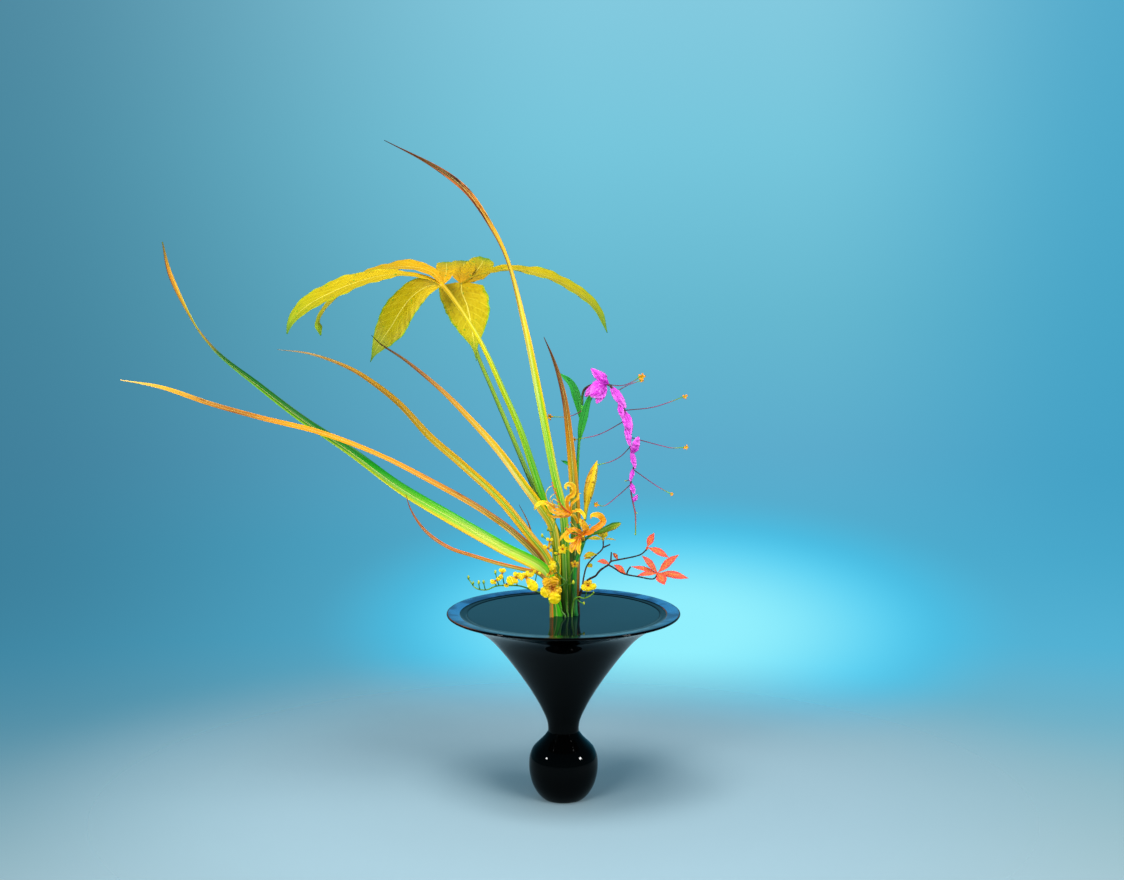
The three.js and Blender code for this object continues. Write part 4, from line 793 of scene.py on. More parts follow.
ginger = {
    "rachis": [(23.8, 19.9, 513.2), (24, 19.5, 524), (27, 18, 533), (36.3, 14, 539), (48.9, 9, 540.9),
               (59, 5, 539.5), (69.1, 2, 520), (76.2, 1, 511.2), (78.7, 0, 496), (84.5, 0, 463.9),
               (87.1, 0, 452.4), (89.5, 0, 438.2), (86.8, 0, 422.1), (85.6, 0, 413.7), (86.3, 0, 402.3),
               (88.4, 0, 390.4), (91.6, 0, 374.9), (92.2, 0, 347.5)],
    "radius": [(0, 1.7), (0.2, 1.5), (0.6, 1.3), (0.9, 0.9), (1, 0.8)],
    # base, tip, width, how far the middle stands out to the front
    "bracts": [
        ((58.8, 9, 541.4), (34.8, 4, 561.3), 12, 4), ((54, 10, 540.8), (43.2, 13, 557), 14, 3),
        ((46.4, 13, 537.8), (27.3, 9, 525), 13, 2), ((54, 9, 540.9), (33.5, -6, 527.4), 25, 8),
        ((52.7, 7, 537.3), (41.8, -4, 517.6), 13, 4), ((59.6, 5, 540.1), (79.2, -2, 511.6), 12, 4),
        ((69.7, 1, 517.6), (76, -4, 496.5), 8, 3), ((80, 0, 510.1), (85.6, -5, 478.8), 13, 4),
        ((80.6, 0, 490.9), (84.4, -4, 463.2), 9, 3), ((90.3, 0, 451.1), (95.1, -5, 475.6), 11, 3),
        ((83.3, 0, 456.2), (91.5, -3, 433.5), 7.5, 2), ((88.5, 0, 434.3), (84.6, -3, 417.4), 6, 2),
        ((86, 0, 415.6), (90.4, -3, 401.3), 7, 2), ((87.4, 0, 390.4), (94.3, -2, 400.1), 6, 1),
    ],
    # route of the thread, then the size of the flower on its end; bigger ones than opensFrom are open
    "opensFrom": 2.6,
    "flowers": [
        ([(51.4, 9, 538.8), (72.8, 2, 539.7), (85.2, -8, 544.9), (96.2, -18, 553.1)], 6),
        ([(71.6, 4, 532.9), (80.6, 8, 539), (98.8, 20, 544)], 3),
        ([(80.5, 1, 508.7), (111.6, -3, 512.4), (130.9, -7, 518.7), (152, -12, 527.6)], 4),
        ([(88.6, 0, 476.4), (125.1, 4, 462.3), (138.2, 6, 459.2), (154.8, 8, 459.8)], 4),
        ([(90.8, 0, 431.4), (119.8, -8, 411.7), (136.4, -14, 403.2)], 3),
        ([(76.8, 0, 494.3), (44.7, 8, 476.1), (14.7, 14, 468.9)], 3),
        ([(42.6, 10, 538), (30, 12, 512), (8.3, 18, 498.4), (-16, 24, 496.8)], 4.4),
        ([(84.8, 0, 461.6), (73.3, 8, 448.5), (60.5, 14, 440.4), (44.9, 20, 435.4)], 2.2),
        ([(85, 0, 414.3), (70.7, -4, 400.4), (51.1, -10, 387), (42.5, -13, 389.5)], 4.2),
        ([(87.2, 0, 418.9), (79.8, 7, 416.4)], 1.8), ([(91.8, 0, 382), (93.2, -1, 376)], 1.2),
        ([(92.2, 0, 352), (91.9, -0.5, 348.6)], 1.5),
    ],
    "threadLook": {"middle": [(0, "3a1420"), (0.5, "8a2058"), (0.75, "a8305c"), (0.86, "8c9a20"),
                              (1, "5ab818")], "streaks": (3, 6, 0.3)},
    "rachisLook": {"middle": [(0, "3f8a20"), (0.08, "3a1c20"), (0.4, "4a1428"), (0.8, "7a1c50"),
                              (0.93, "a84c50"), (1, "6ab020")]},
    "bractLook": {
        "edges": [(0, "b81cb4"), (0.5, "e448d8"), (1, "f080e4")],
        "middle": [(0, "9a1490"), (0.4, "c828bc"), (1, "e040d0")], "tinted": [(0, "c030b8"), (1, "f070e0")],
        "streaks": (13, 3, 0.75), "shade": "b85cae", "light": "f8b8f0", "depth": 0.0004,
    },
    "flowerLook": {"middle": [(0, "6aac18"), (0.5, "a8c41c"), (1, "c8c820")],
                   "tinted": [(0, "f0c008"), (0.5, "f4a408"), (1, "ec7c10")]},
}
rachisRoute = Route(ginger["rachis"])
bm = newMesh()
rod(bm, ginger["rachis"], ginger["radius"], steps=150, ring=12, bumps=0.15)
closePiece("gingerRachis", bm, leafSkin("gingerRachis", ginger["rachisLook"]), "bract_magenta",
           "ginger_spray")
bm = newMesh()
for i, (base, tip, broad, bulge) in enumerate(ginger["bracts"]):
    root = rachisRoute.nearest(base)
    middle = partWay(root, tip, 0.5) - Vector((0, bulge, 0))
    width = [(0, 2), (0.12, broad * 0.5), (0.35, broad), (0.67, broad * 0.9), (0.9, broad * 0.5),
             (1, broad * 0.12)]
    strip(bm, [root, middle, Vector(tip)], width, fold=-0.3, thick=0.6, steps=36, ring=36, wave=0.8,
          waves=2.5, crinkle=1.3, tint=(i * 0.37) % 1 * 0.6, seed=i)
closePiece("gingerBracts", bm, leafSkin("gingerBracts", ginger["bractLook"]), "bract_magenta",
           "ginger_spray")


def smallFlower(bm, centre, size, away, seed):
    # pointed petals round a tube that looks along away
    aim = Vector(away).normalized().to_track_quat("Z", "Y").to_matrix().to_4x4()
    place = Matrix.Translation(centre) @ aim @ Matrix.Scale(size, 4)
    draw = random.Random(seed)
    for i in range(5):
        spin = Matrix.Rotation(math.tau * i / 5 + draw.uniform(-0.3, 0.3), 4, "Z")
        out = draw.uniform(0.55, 0.8)
        petal = [(0.05, 0, 0.2), (out * 0.6, 0, 0.62), (out, 0, 0.5)]
        width = [(0, 0.2), (0.5, 0.42), (1, 0.1)]
        made = strip(bm, petal, width, face=(0, 0, 1), thick=0.1, steps=6, ring=8, tint=1.0)
        bmesh.ops.transform(bm, matrix=place @ spin, verts=made)


bm = newMesh()
for (start, *onward), _ in ginger["flowers"]:
    rod(bm, [rachisRoute.nearest(start), *map(Vector, onward)], [(0, 0.62), (0.8, 0.5), (1, 0.65)],
        steps=26, ring=7)
closePiece("gingerThreads", bm, leafSkin("gingerThreads", ginger["threadLook"]), "bract_magenta",
           "ginger_spray")
bm = newMesh()
for i, ((start, *onward), size) in enumerate(ginger["flowers"]):
    end = Vector(onward[-1])
    side = math.copysign(1, end.x - start[0])
    rod(bm, [end - Vector((side * size * 0.5, 0, 0.4)), end, end + Vector((side * size, 0, 0.6))],
        [(0, 0.6), (0.3, size * 0.34), (0.7, size * 0.42), (1, size * 0.12)], steps=12, ring=10, bumps=0.2,
        seed=i)
    if size > ginger["opensFrom"]:
        smallFlower(bm, end, size * 1.3, (side * 0.5, -1, 0.1), i)
closePiece("gingerFlowers", bm, leafSkin("gingerFlowers", ginger["flowerLook"]), "bract_magenta",
           "ginger_spray")
print("ginger made")

# spider lily: a bare stalk with two open flowers and two buds at its head
lily = {
    "hub": (24.8, -21, 343),
    "stalk": [*footing(15, -9), (14.7, -10, 247), (13.4, -11, 278), (14.7, -14, 311), (21, -18, 331.6),
              (24.8, -21, 343)],
    "necks": [(18.3, -30, 368), (25.6, -29.5, 346), (27, -23.6, 371.4), (36.2, -23.4, 352.6)],
    # the darkest stops at the foot are painted shade where the stems crowd into the vase mouth
    "stalkLook": {"middle": [(0, "0c3c14"), (0.4, "147024"), (1, "2a9428")],
                  "low": [(0, "08240a"), (1, "145c18")],
                  "high": [(0, "126034"), (0.5, "1c8c48"), (1, "28a048")]},
    "petalLook": {
        "edges": [(0, "f0a80c"), (0.5, "f4cc14"), (1, "f8dc20")],
        "middle": [(0, "e88008"), (0.5, "f0a008"), (1, "f4c010")],
        "tinted": [(0, "e46804"), (0.6, "ec9004"), (1, "f0b408")],
        "streaks": (8, 3, 0.5), "shade": "d08040", "light": "fce478", "spread": (0.3, 0.85),
    },
    "threadLook": {"middle": [(0, "e8801c"), (0.6, "f0b818"), (0.93, "f4d030"), (1, "e04818")],
                   "tinted": [(0, "d84010"), (0.8, "e86818"), (1, "e83018")]},
}
lilyFlowers = {
    "upper": {
        "slot": "lily_yellow", "node": "lily_flower_upper",
        "tube": [(18.1, -30.6, 368.6), (13.9, -34, 377.9), (9.2, -36, 381.7)],
        "petals": [
            {"points": [(6.8, -39, 385.6), (4.4, -43, 394.5), (5.1, -46, 403), (10.8, -47, 408.2),
                        (13.1, -48, 414.8), (10.7, -50, 420.7), (5.1, -53, 422.1), (2.4, -55, 419.2),
                        (4.4, -54, 415.1)],
             "broad": 7, "face": (0.3, -1, 0), "tint": 0.1},
            {"points": [(9.2, -38, 385.4), (10.1, -40, 394), (13.9, -41, 399), (18, -41, 402.2),
                        (19.6, -40, 407.7), (22, -40, 408.5)],
             "broad": 3.4, "face": (-0.3, -1, 0), "tint": 0.1},
            {"points": [(2.8, -38, 383.8), (-10.1, -46, 389.3), (-18.8, -52, 396.8), (-27.5, -56, 399.2),
                        (-33.8, -57, 395.5), (-36.3, -55, 389.9)],
             "broad": 7, "face": (0, -0.7, 0.7), "tint": 0},
            {"points": [(5.7, -40, 381.7), (-6, -49, 383.9), (-15.7, -56, 388.8), (-20.4, -60, 396.6),
                        (-25, -60, 398.9)],
             "broad": 6, "face": (0.2, -0.8, 0.6), "tint": 0.2},
            {"points": [(10.8, -39, 383.9), (17.2, -43, 387.1), (22, -46, 386), (26, -48, 380.7),
                        (26.3, -49, 376.8)],
             "broad": 5, "face": (0, -0.8, 0.6), "tint": 0},
            {"points": [(6, -38, 378.9), (-3.7, -44, 379.5), (-14.1, -49, 380.5), (-20.8, -50, 383.9)],
             "broad": 3.6, "face": (0, -1, 0.2), "tint": 0.7},
        ],
        "threads": [
            ([(-4, -46, 391), (-16, -54, 397), (-21, -58, 404), (-22, -61, 412), (-18, -63, 420),
              (-13, -63, 422)], 0),
            ([(-2, -48, 393), (-8, -56, 408), (-12, -60, 416), (-14, -63, 426)], 1),
            ([(-3, -47, 392), (-14, -56, 399), (-17, -60, 405), (-15, -62, 409), (-10, -63, 413)], 0),
            ([(-1, -47, 393), (-7, -54, 404), (-9, -58, 411), (-10, -61, 418)], 1),
            ([(-3, -47, 393), (-12, -55, 397), (-14, -59, 402), (-12, -61, 405), (-7, -61, 401)], 0),
        ],
    },
    "lower": {
        "slot": "lily_orange", "node": "lily_flower_lower",
        "tube": [(25.2, -30.9, 346.9), (24.6, -34, 351), (23.3, -37, 354.1)],
        "petals": [
            {"points": [(26.1, -38, 356), (32.5, -42, 358.4), (39.6, -45, 364.6), (45.9, -46, 368.5),
                        (50, -46, 372.9), (48.3, -47, 378.9), (42.8, -49, 382.4), (35.6, -51, 382),
                        (34, -51, 377.9)],
             "broad": 8.5, "face": (-0.3, -1, 0.3), "tint": 0.9},
            {"points": [(27.1, -37, 357.2), (29, -40, 361.2), (24.5, -44, 370.1), (20.5, -46, 377)],
             "broad": 9, "face": (0.1, -1, 0.2), "tint": 0.4},
            {"points": [(22.1, -38, 357.4), (14.5, -44, 363), (6.9, -50, 361.9), (3.1, -53, 357.1),
                        (4.4, -55, 352.7), (10, -55, 350.6), (15.5, -54, 351.7)],
             "broad": 7, "face": (0, -0.9, 0.4), "tint": 0.5},
            {"points": [(18.3, -38, 359.3), (9.2, -47, 362.5), (2.7, -52, 359.5), (-2, -54, 354.9),
                        (-6, -54, 348.4)],
             "broad": 4, "face": (0, -0.8, 0.6), "tint": 0.8},
            {"points": [(19.5, -38, 352.2), (14, -44, 348.9), (11.9, -48, 344.2), (10, -51, 339.4),
                        (10.7, -51, 334.3)],
             "broad": 9, "face": (0, -1, -0.3), "tint": 0.7},
            {"points": [(20.8, -38, 351), (19.5, -45, 345.9), (18.9, -49, 339.4), (20.2, -50, 332.1)],
             "broad": 6, "face": (0, -1, -0.3), "tint": 0.1},
        ],
        "threads": [
            ([(21, -42, 358), (14, -54, 368), (9, -60, 375)], 0),
            ([(22, -42, 359), (24, -55, 369), (24, -61, 377)], 0),
            ([(23, -42, 358), (28, -55, 367), (33, -62, 372)], 0),
            ([(19.5, -42, 356), (9, -56, 361), (3, -62, 368)], 1),
            ([(21, -42, 357), (12, -55, 364), (6, -61, 372)], 0),
            ([(22, -42, 352), (17, -54, 346), (15, -60, 340)], 1),
        ],
    },
}
bm = newMesh()
rod(bm, lily["stalk"], [(0, 4.4), (0.8, 3.6), (1, 3.4)], steps=60, ring=20)
for end in lily["necks"]:
    middle = partWay(lily["hub"], end, 0.5) + Vector((0, 0, 1))
    rod(bm, [lily["hub"], middle, end], [(0, 2.2), (1, 1.5)], steps=16, ring=14)
closePiece("lilyStalk", bm, leafSkin("lilyStalk", lily["stalkLook"]), "stem_green", "lily_stalk")
for name, flower in lilyFlowers.items():
    bm = newMesh()
    nextToLast, centre = flower["tube"][-2:]
    root = partWay(nextToLast, centre, 0.7)
    rod(bm, flower["tube"], [(0, 1.6), (1, 2.8)], steps=14, ring=14)
    for i, petal in enumerate(flower["petals"]):
        broad = petal["broad"]
        width = [(0, broad * 0.4), (0.2, broad * 0.7), (0.5, broad), (0.8, broad * 0.9),
                 (0.95, broad * 0.5), (1, 0.5)]
        strip(bm, [root, *petal["points"]], width, face=petal["face"], fold=0.3, thick=0.6, steps=60,
              ring=22, wave=0.9, waves=6, crinkle=1.0, tint=petal["tint"], seed=i)
    closePiece(f"lilyFlower_{name}", bm, leafSkin(f"lilyPetals_{name}", lily["petalLook"]), flower["slot"],
               flower["node"])
    bm = newMesh()
    for i, (thread, tint) in enumerate(flower["threads"]):
        rod(bm, [root, *thread], [(0, 0.6), (0.94, 0.45), (1, 0.4)], steps=34, ring=7, tint=tint)
        end = Vector(thread[-1])
        rod(bm, [end - Vector((1.4, 0, 0.5)), end, end + Vector((1.4, 0, 0.5))],
            [(0, 0.2), (0.5, 0.8), (1, 0.2)], steps=8, ring=8, tint=1)
    closePiece(f"lilyThreads_{name}", bm, leafSkin(f"lilyThreads_{name}", lily["threadLook"]),
               flower["slot"], flower["node"])
lilyBuds = {
    "tall": {
        "slot": "lily_yellow",
        "points": [(27.2, -23.6, 371.9), (29, -23, 390), (34.5, -21.5, 420), (42.3, -20, 446.5)],
        "radius": [(0, 1.6), (0.22, 2.8), (0.45, 6), (0.68, 6.4), (0.86, 4.2), (0.96, 1.6), (1, 0.4)],
        "look": {
            "low": [(0, "b8a818"), (0.4, "c89c10"), (1, "e8a010")],
            "middle": [(0, "a8a818"), (0.3, "d8b010"), (1, "f0c010")],
            "high": [(0, "c8b818"), (0.4, "ecc414"), (1, "f4d018")],
            "patches": ("8a4a08", 0.3, 0.85, 0.55), "streaks": (9, 2, 0.7),
            "shade": "b08030", "light": "f8e060",
        },
    },
    "short": {
        "slot": "bud_green",
        "points": [(36.8, -23.5, 353), (52, -25, 359), (72.8, -26, 368)],
        "radius": [(0, 1.5), (0.4, 3.6), (0.75, 4.6), (0.95, 2.2), (1, 0.4)],
        "look": {
            "low": [(0, "2a6a10"), (1, "3a7010")],
            "middle": [(0, "4a8a10"), (0.5, "6a9410"), (1, "9aa010")],
            "high": [(0, "a0b010"), (0.5, "d0c414"), (1, "e8c414")], "streaks": (8, 2, 0.6),
        },
    },
}
for name, bud in lilyBuds.items():
    bm = newMesh()
    rod(bm, bud["points"], bud["radius"], steps=48, ring=24, ridges=6, ridgeDepth=0.06)
    closePiece(f"lilyBud_{name}", bm, leafSkin(f"lilyBud_{name}", bud["look"]), bud["slot"],
               f"lily_bud_{name}")
print("lily made")

# orchid sprays: wiry stems, buds, and flowers of frilled lobes. A bud is given as its place,
# size and root on the stem; a flower as its place, its root, and its lobes: which way each
# points, in degrees clockwise from straight up, its length, its width and how ochre it is
orchids = {
    "left": {
        "stem": [*footing(1.9, -20), (-1.5, -20.5, 251), (-7, -24, 266), (-12, -26, 275), (-20, -28, 278),
                 (-32, -31, 280), (-42.5, -34, 284.5), (-55.6, -36, 289), (-69, -38, 290),
                 (-85, -40, 289.6), (-98, -42, 285), (-111, -44, 288), (-119, -46, 299)],
        "buds": [((-120, -46, 302), 3, (-119, -46, 298)), ((-107, -48, 296), 3, (-105, -43, 286)),
                 ((-100.8, -46, 296), 3, (-98, -42, 285)), ((-86, -46, 308.9), 3, (-82, -39, 290)),
                 ((-114, -46, 295), 2.4, (-114, -44.7, 291))],
        "flowers": [
            ((-85.8, -46, 298), (-85, -40, 289.6), [(-110, 7, 6.5, 0), (60, 8, 6, 0), (200, 5, 5, 0.1)]),
            ((-77.2, -47, 307.8), (-74, -38.5, 290),
             [(-20, 6.5, 6, 0), (30, 6.5, 6, 0.1), (200, 9, 6.5, 0)]),
            ((-59.2, -48, 302.2), (-58, -36.5, 289),
             [(-115, 13.5, 12, 0), (40, 8, 6, 0.2), (-20, 7.5, 6, 0.2), (100, 5, 4, 0.3), (-165, 8, 7, 0)]),
            ((-72, -44, 293.4), (-69, -38, 290), [(180, 4.5, 6, 0.1), (140, 4, 4, 0.1), (-140, 4, 4, 0.1)]),
            ((-47.9, -50, 303.3), (-42.5, -34, 284.5),
             [(138.5, 22, 12.5, 0), (-85, 8, 10, 0), (25, 8.5, 5.5, 0.2), (66, 12, 6, 0.3),
              (-30, 6.5, 5, 0.1)]),
            ((-33.4, -46, 308.5), (-38, -33, 282.6), [(-70, 5.5, 4, 0.1), (110, 5.5, 4, 0.1)]),
        ],
    },
    "upright": {
        "stem": [*footing(6, -18), (4.5, -18.5, 253.5), (3.6, -22, 276), (2.9, -32, 293.3),
                 (-6.3, -34, 304.7), (-5.6, -34, 312.5), (-7.1, -34, 318), (-11.8, -34, 325),
                 (-12.5, -34, 338.2), (-17.1, -34, 343.8), (-13.3, -36, 358.9), (-10.1, -38, 377.2)],
        "buds": [((-10, -38.2, 379), 2.6, (-10.6, -37.8, 374)), ((-27, -37, 354), 3, (-16.6, -34.4, 347)),
                 ((-20, -38, 362), 2.4, (-13.6, -35.8, 358)), ((12.4, -41, 294.6), 3.2, (3, -30, 289.6))],
        "flowers": [
            ((-13.9, -57, 289.6), (2.9, -32, 293.3),
             [(-113, 16, 15, 0.3), (166, 20, 16, 0.1), (-40, 17, 12, 1), (10, 16.5, 13, 1),
              (100, 12, 10, 0.8), (-78, 12, 9, 0.9)]),
            ((-17.7, -44, 307.2), (-6.3, -34, 306),
             [(23, 17, 6.5, 0.2), (-150, 5, 5, 0.6), (95, 5, 5, 0.8)]),
            ((-1, -46, 338.4), (-12.5, -34, 334),
             [(8, 6.5, 4.6, 0.2), (80, 7, 4.6, 0.1), (150, 6.5, 5, 0), (-140, 6.5, 5, 0.2),
              (-65, 6, 4.6, 0.3)]),
            ((-19.3, -44, 338.7), (-12.5, -34, 337),
             [(-60, 7.5, 5, 0.1), (120, 6.5, 5, 0.4), (20, 5, 4, 0.8)]),
            ((-17.7, -42, 347.2), (-17, -34.2, 344),
             [(-35, 6, 4.4, 0.2), (45, 6, 4.4, 0.1), (175, 4.5, 4, 0.6)]),
            ((-6.3, -42, 331.2), (-12, -34, 328), [(60, 6.5, 2.6, 0.1), (-70, 6, 2.6, 0.2)]),
            ((-14.5, -42, 317.1), (-7.1, -34, 318),
             [(-20, 6, 5, 0.2), (110, 6, 5, 0.1), (-125, 5.5, 4.6, 0.3)]),
            ((14.3, -40, 318), (3.4, -30, 291),
             [(0, 5, 3.6, 0.7), (72, 5.4, 3.6, 0.6), (144, 5, 3.6, 0.7), (216, 5, 3.6, 0.8),
              (288, 5.4, 3.6, 0.7)]),
        ],
    },
    "right": {
        "stem": [*footing(11, -18), (11.6, -18.5, 260), (14.5, -21, 268.5), (19.5, -24, 271.9),
                 (25, -28, 271.3), (31, -31, 273.5), (37.4, -34, 278.5)],
        "buds": [((38, -34.5, 280), 2, (36.6, -33.6, 277.6)), ((26, -27, 264.5), 2.4, (16, -22, 269.6))],
        "flowers": [
            ((31, -38, 290), (27, -29, 271.8),
             [(-115, 9.5, 9, 0), (100, 11, 9, 0), (180, 8, 12, 0), (-35, 7.5, 5.5, 0.6),
              (30, 8, 5.5, 0.6)]),
        ],
    },
}
# a lobe's width at stations along it, as a share of its broadest
orchidLobe = [(0, 0.2), (0.2, 0.55), (0.5, 1), (0.8, 0.92), (0.94, 0.55), (1, 0.15)]
orchidLook = {
    "middle": [(0, "a8480c"), (0.1, "d8900c"), (0.25, "f0c808"), (1, "f4dc0c")],
    "edges": [(0, "c8780c"), (0.3, "f4d00c"), (1, "f8e818")],
    "tinted": [(0, "8a3004"), (0.2, "b06404"), (0.5, "cc9004"), (1, "e4ac04")], "spread": (0.3, 0.9),
    "streaks": (6, 4, 0.45), "shade": "c89838", "light": "fcf060", "depth": 0.0003,
}
orchidStemLook = {
    "middle": [(0, "1f5a18"), (0.2, "2f6a14"), (0.6, "4a8a18"), (1, "7aa81c")],
    "tinted": [(0, "6aa414"), (0.6, "b8c01c"), (1, "e0c820")], "streaks": (3, 8, 0.5),
}


def sideStalk(bm, root, end):
    middle = partWay(root, end, 0.5) - Vector((0, 0, 1.5))
    rod(bm, [root, middle, Vector(end)], [(0, 0.8), (1, 0.6)], steps=14, ring=7)


def orchidFlower(bm, centre, lobes, seed):
    for i, (turn, length, broad, ochre) in enumerate(lobes):
        out = Vector((math.sin(math.radians(turn)), 0, math.cos(math.radians(turn)))) * length
        bulge = Vector((0, -0.16 * length, 0))
        tip = Vector((0, (i % 3 - 1) * 0.12 * length, 0))
        start = Vector(centre) + out * 0.05
        strip(bm, [start, Vector(centre) + out * 0.5 + bulge, Vector(centre) + out + tip],
              [(t, share * broad) for t, share in orchidLobe], fold=-0.12, thick=0.5, steps=22, ring=22,
              wave=0.1 * broad, waves=3.5, crinkle=0.9 + 1.4 * ochre, tint=ochre, seed=seed + i)
    crest = bmesh.ops.create_icosphere(bm, subdivisions=2, radius=1.1)["verts"]
    for vert in crest:
        vert[bm.verts.layers.float["tint"]] = 0.9
        vert.co = vert.co * (1 + 0.5 * noise.noise(vert.co * 2.4)) + Vector(centre) - Vector((0, 0.8, 0))


for name, spray in orchids.items():
    route = Route(spray["stem"])
    bm = newMesh()
    rod(bm, spray["stem"], [(0, 1.3), (0.5, 1.1), (1, 0.8)], steps=100, ring=9)
    for i, (centre, size, root) in enumerate(spray["buds"]):
        x, y, z = centre
        sideStalk(bm, route.nearest(root), centre)
        rod(bm, [(x, y, z - size), centre, (x, y, z + size)],
            [(0, 0.4), (0.34, size * 0.56), (0.67, size * 0.5), (1, 0.15)], steps=14, ring=14,
            tint=0.5 + 0.5 * (i % 2), ridges=3, ridgeDepth=0.08)
    for centre, root, _ in spray["flowers"]:
        sideStalk(bm, route.nearest(root), centre)
    closePiece(f"orchidStem_{name}", bm, leafSkin(f"orchidStem_{name}", orchidStemLook), "orchid_yellow",
               f"orchid_spray_{name}")
    bm = newMesh()
    for i, (centre, _, lobes) in enumerate(spray["flowers"]):
        orchidFlower(bm, centre, lobes, i * 7)
    closePiece(f"orchidFlowers_{name}", bm, leafSkin(f"orchidFlowers_{name}", orchidLook), "orchid_yellow",
               f"orchid_spray_{name}")
print("orchids made")

# twig in autumn colour: dark branches, and pointed leaves in whorls at their ends
twig = {
    "stem": [*footing(19.5, -1.5), (19.5, -1.5, 263), (25, -4, 281), (32.6, -7, 291.4), (40.3, -8, 295.6),
             (46.6, -10, 303.4), (58, -12, 311.8)],
    "branches": [
        [(57, -12, 311), (60.3, -12, 315.4), (69.9, -12, 317.8), (89.3, -14.5, 322.3), (98.8, -17, 326),
         (105.6, -19.4, 332.6)],
        [(57, -12, 311.4), (64, -13, 307.6), (75.6, -16, 300.9), (94.8, -21, 297.8), (114.3, -26, 296),
         (118.4, -27.6, 300.2)],
        [(24, -3, 279), (26.5, 3, 295), (30.6, 7, 307.2), (39.8, 11, 317.2), (50.3, 15.5, 327.2),
         (51.2, 17.8, 336.4)],
        [(60.4, -12, 315.2), (60.6, -12, 321.4), (61, -12, 327.6)],
        [(80.5, -17.5, 300.2), (82, -18.4, 305), (85.2, -19.5, 310.2)],
        [(50.4, 15.6, 328), (55, 18, 329.6), (59.9, 20, 331.4)],
    ],
    # each leaf as its base, its tip and its width
    "redLeaves": [((59.2, -12.2, 312.4), (42.9, -17, 316.8), 7.2),
                  ((79.6, -17.2, 300.4), (63.8, -21, 313.1), 8),
                  ((69.5, -12.4, 317.6), (62.9, -9, 326), 5.5)],
    "yellowLeaves": [((43, 12, 320.4), (25.4, 5, 318.3), 8.4), ((38, 10.3, 315.2), (25.6, 4, 315.4), 3.8),
                     ((30.2, 6.7, 306.2), (36.8, -3, 306.2), 7.6)],
    "barkLook": {"middle": [(0, "4a3020"), (0.5, "2a1814"), (1, "3a2220")], "streaks": (5, 30, 0.6),
                 "shade": "605048", "light": "9a8478", "rough": (0.55, 0.85), "depth": 0.0006},
    "redLook": {
        "low": [(0, "e8483c"), (1, "e83c40")], "middle": [(0, "e86a38"), (0.5, "ec7038"), (1, "e84c3c")],
        "high": [(0, "ec4c48"), (1, "e83848")], "tinted": [(0, "b82c1c"), (1, "8a2018")],
        "rib": (0.06, "c83828"), "veins": (7, 1.6, 0.3, "f08858"), "specks": (520, 0.63, "e8a040"),
        "streaks": (7, 4, 0.3), "shade": "d07058", "light": "f89878", "rough": (0.4, 0.6), "depth": 0.0003,
    },
    "yellowLook": {
        "low": [(0, "a8a010"), (1, "c89c10")], "middle": [(0, "b8b00c"), (0.6, "c8b80c"), (1, "dc9410")],
        "high": [(0, "c0b00c"), (1, "d8900c")], "tinted": [(0, "d87418"), (1, "e86c1c")],
        "rib": (0.07, "8a8a10"), "veins": (7, 1.6, 0.3, "e0d040"), "specks": (520, 0.64, "a85a10"),
        "streaks": (7, 4, 0.35), "shade": "a08838", "light": "e8dc60", "depth": 0.0003,
    },
}
whorls = {
    "redRight": {
        "slot": "leaf_coral", "node": "red_leaf_whorl_right", "look": "redLook", "radius": 1.7,
        "hub": [(118.6, -27.7, 300.8), (119, -28, 302.6), (119.5, -28.2, 304.2)],
        "leaves": [((119.4, -28, 303.6), (99.1, -38, 328.4), 9.5),
                   ((119.5, -28, 304), (145.3, -42, 330.2), 11),
                   ((119.5, -28, 303.6), (159, -21, 295.6), 11),
                   ((119.5, -28, 303.4), (127.5, -44, 292.1), 14.5),
                   ((119.4, -28, 303.6), (85.7, -36, 313.9), 6.5),
                   ((119.4, -28, 303.4), (93.3, -42, 303.4), 7)],
    },
    "redUpper": {
        "slot": "leaf_coral", "node": "red_leaf_whorl_upper", "look": "redLook", "radius": 1.6,
        "hub": [(105.8, -19.5, 333.1), (106.3, -20, 334.6), (106.5, -20, 336)],
        "leaves": [((106.5, -20, 335.4), (115, -22, 354.4), 9.5),
                   ((106.5, -20, 335.4), (133.8, -20, 322.3), 10),
                   ((106.5, -20, 335.6), (112, 6, 344), 5)],
    },
    "yellow": {
        "slot": "leaf_lime", "node": "yellow_leaf_whorl", "look": "yellowLook", "radius": 1.6,
        "hub": [(51.2, 17.9, 336.9), (51.2, 18, 338.6), (51.2, 18, 340)],
        "leaves": [((51.2, 18, 338.7), (30.8, 9, 340.8), 6), ((51.2, 18, 339), (47.7, 14, 348.9), 7),
                   ((51.2, 18, 339), (56.8, 22, 347.4), 7), ((51.2, 18, 338.6), (67.4, 12, 338.6), 2.6),
                   ((51.2, 18, 339), (43, 36, 345), 7)],
    },
}


def pointedLeaf(bm, base, tip, broad, seed, tint=0.0):
    span = Vector(tip) - Vector(base)
    start = Vector(base) + span.normalized() * 0.6
    middle = partWay(base, tip, 0.5) + Vector((0, 0, 1.2))
    width = [(0, 1), (0.1, broad * 0.25), (0.3, broad * 0.76), (0.5, broad), (0.72, broad * 0.78),
             (0.9, broad * 0.3), (1, 0.4)]
    strip(bm, [start, middle, Vector(tip)], width, face=(0, -0.8, 0.6), fold=0.2, thick=0.5, steps=44,
          ring=24, wave=0.25, waves=2, pleats=7, pleatDepth=0.16, crinkle=0.4, tint=tint, seed=seed)


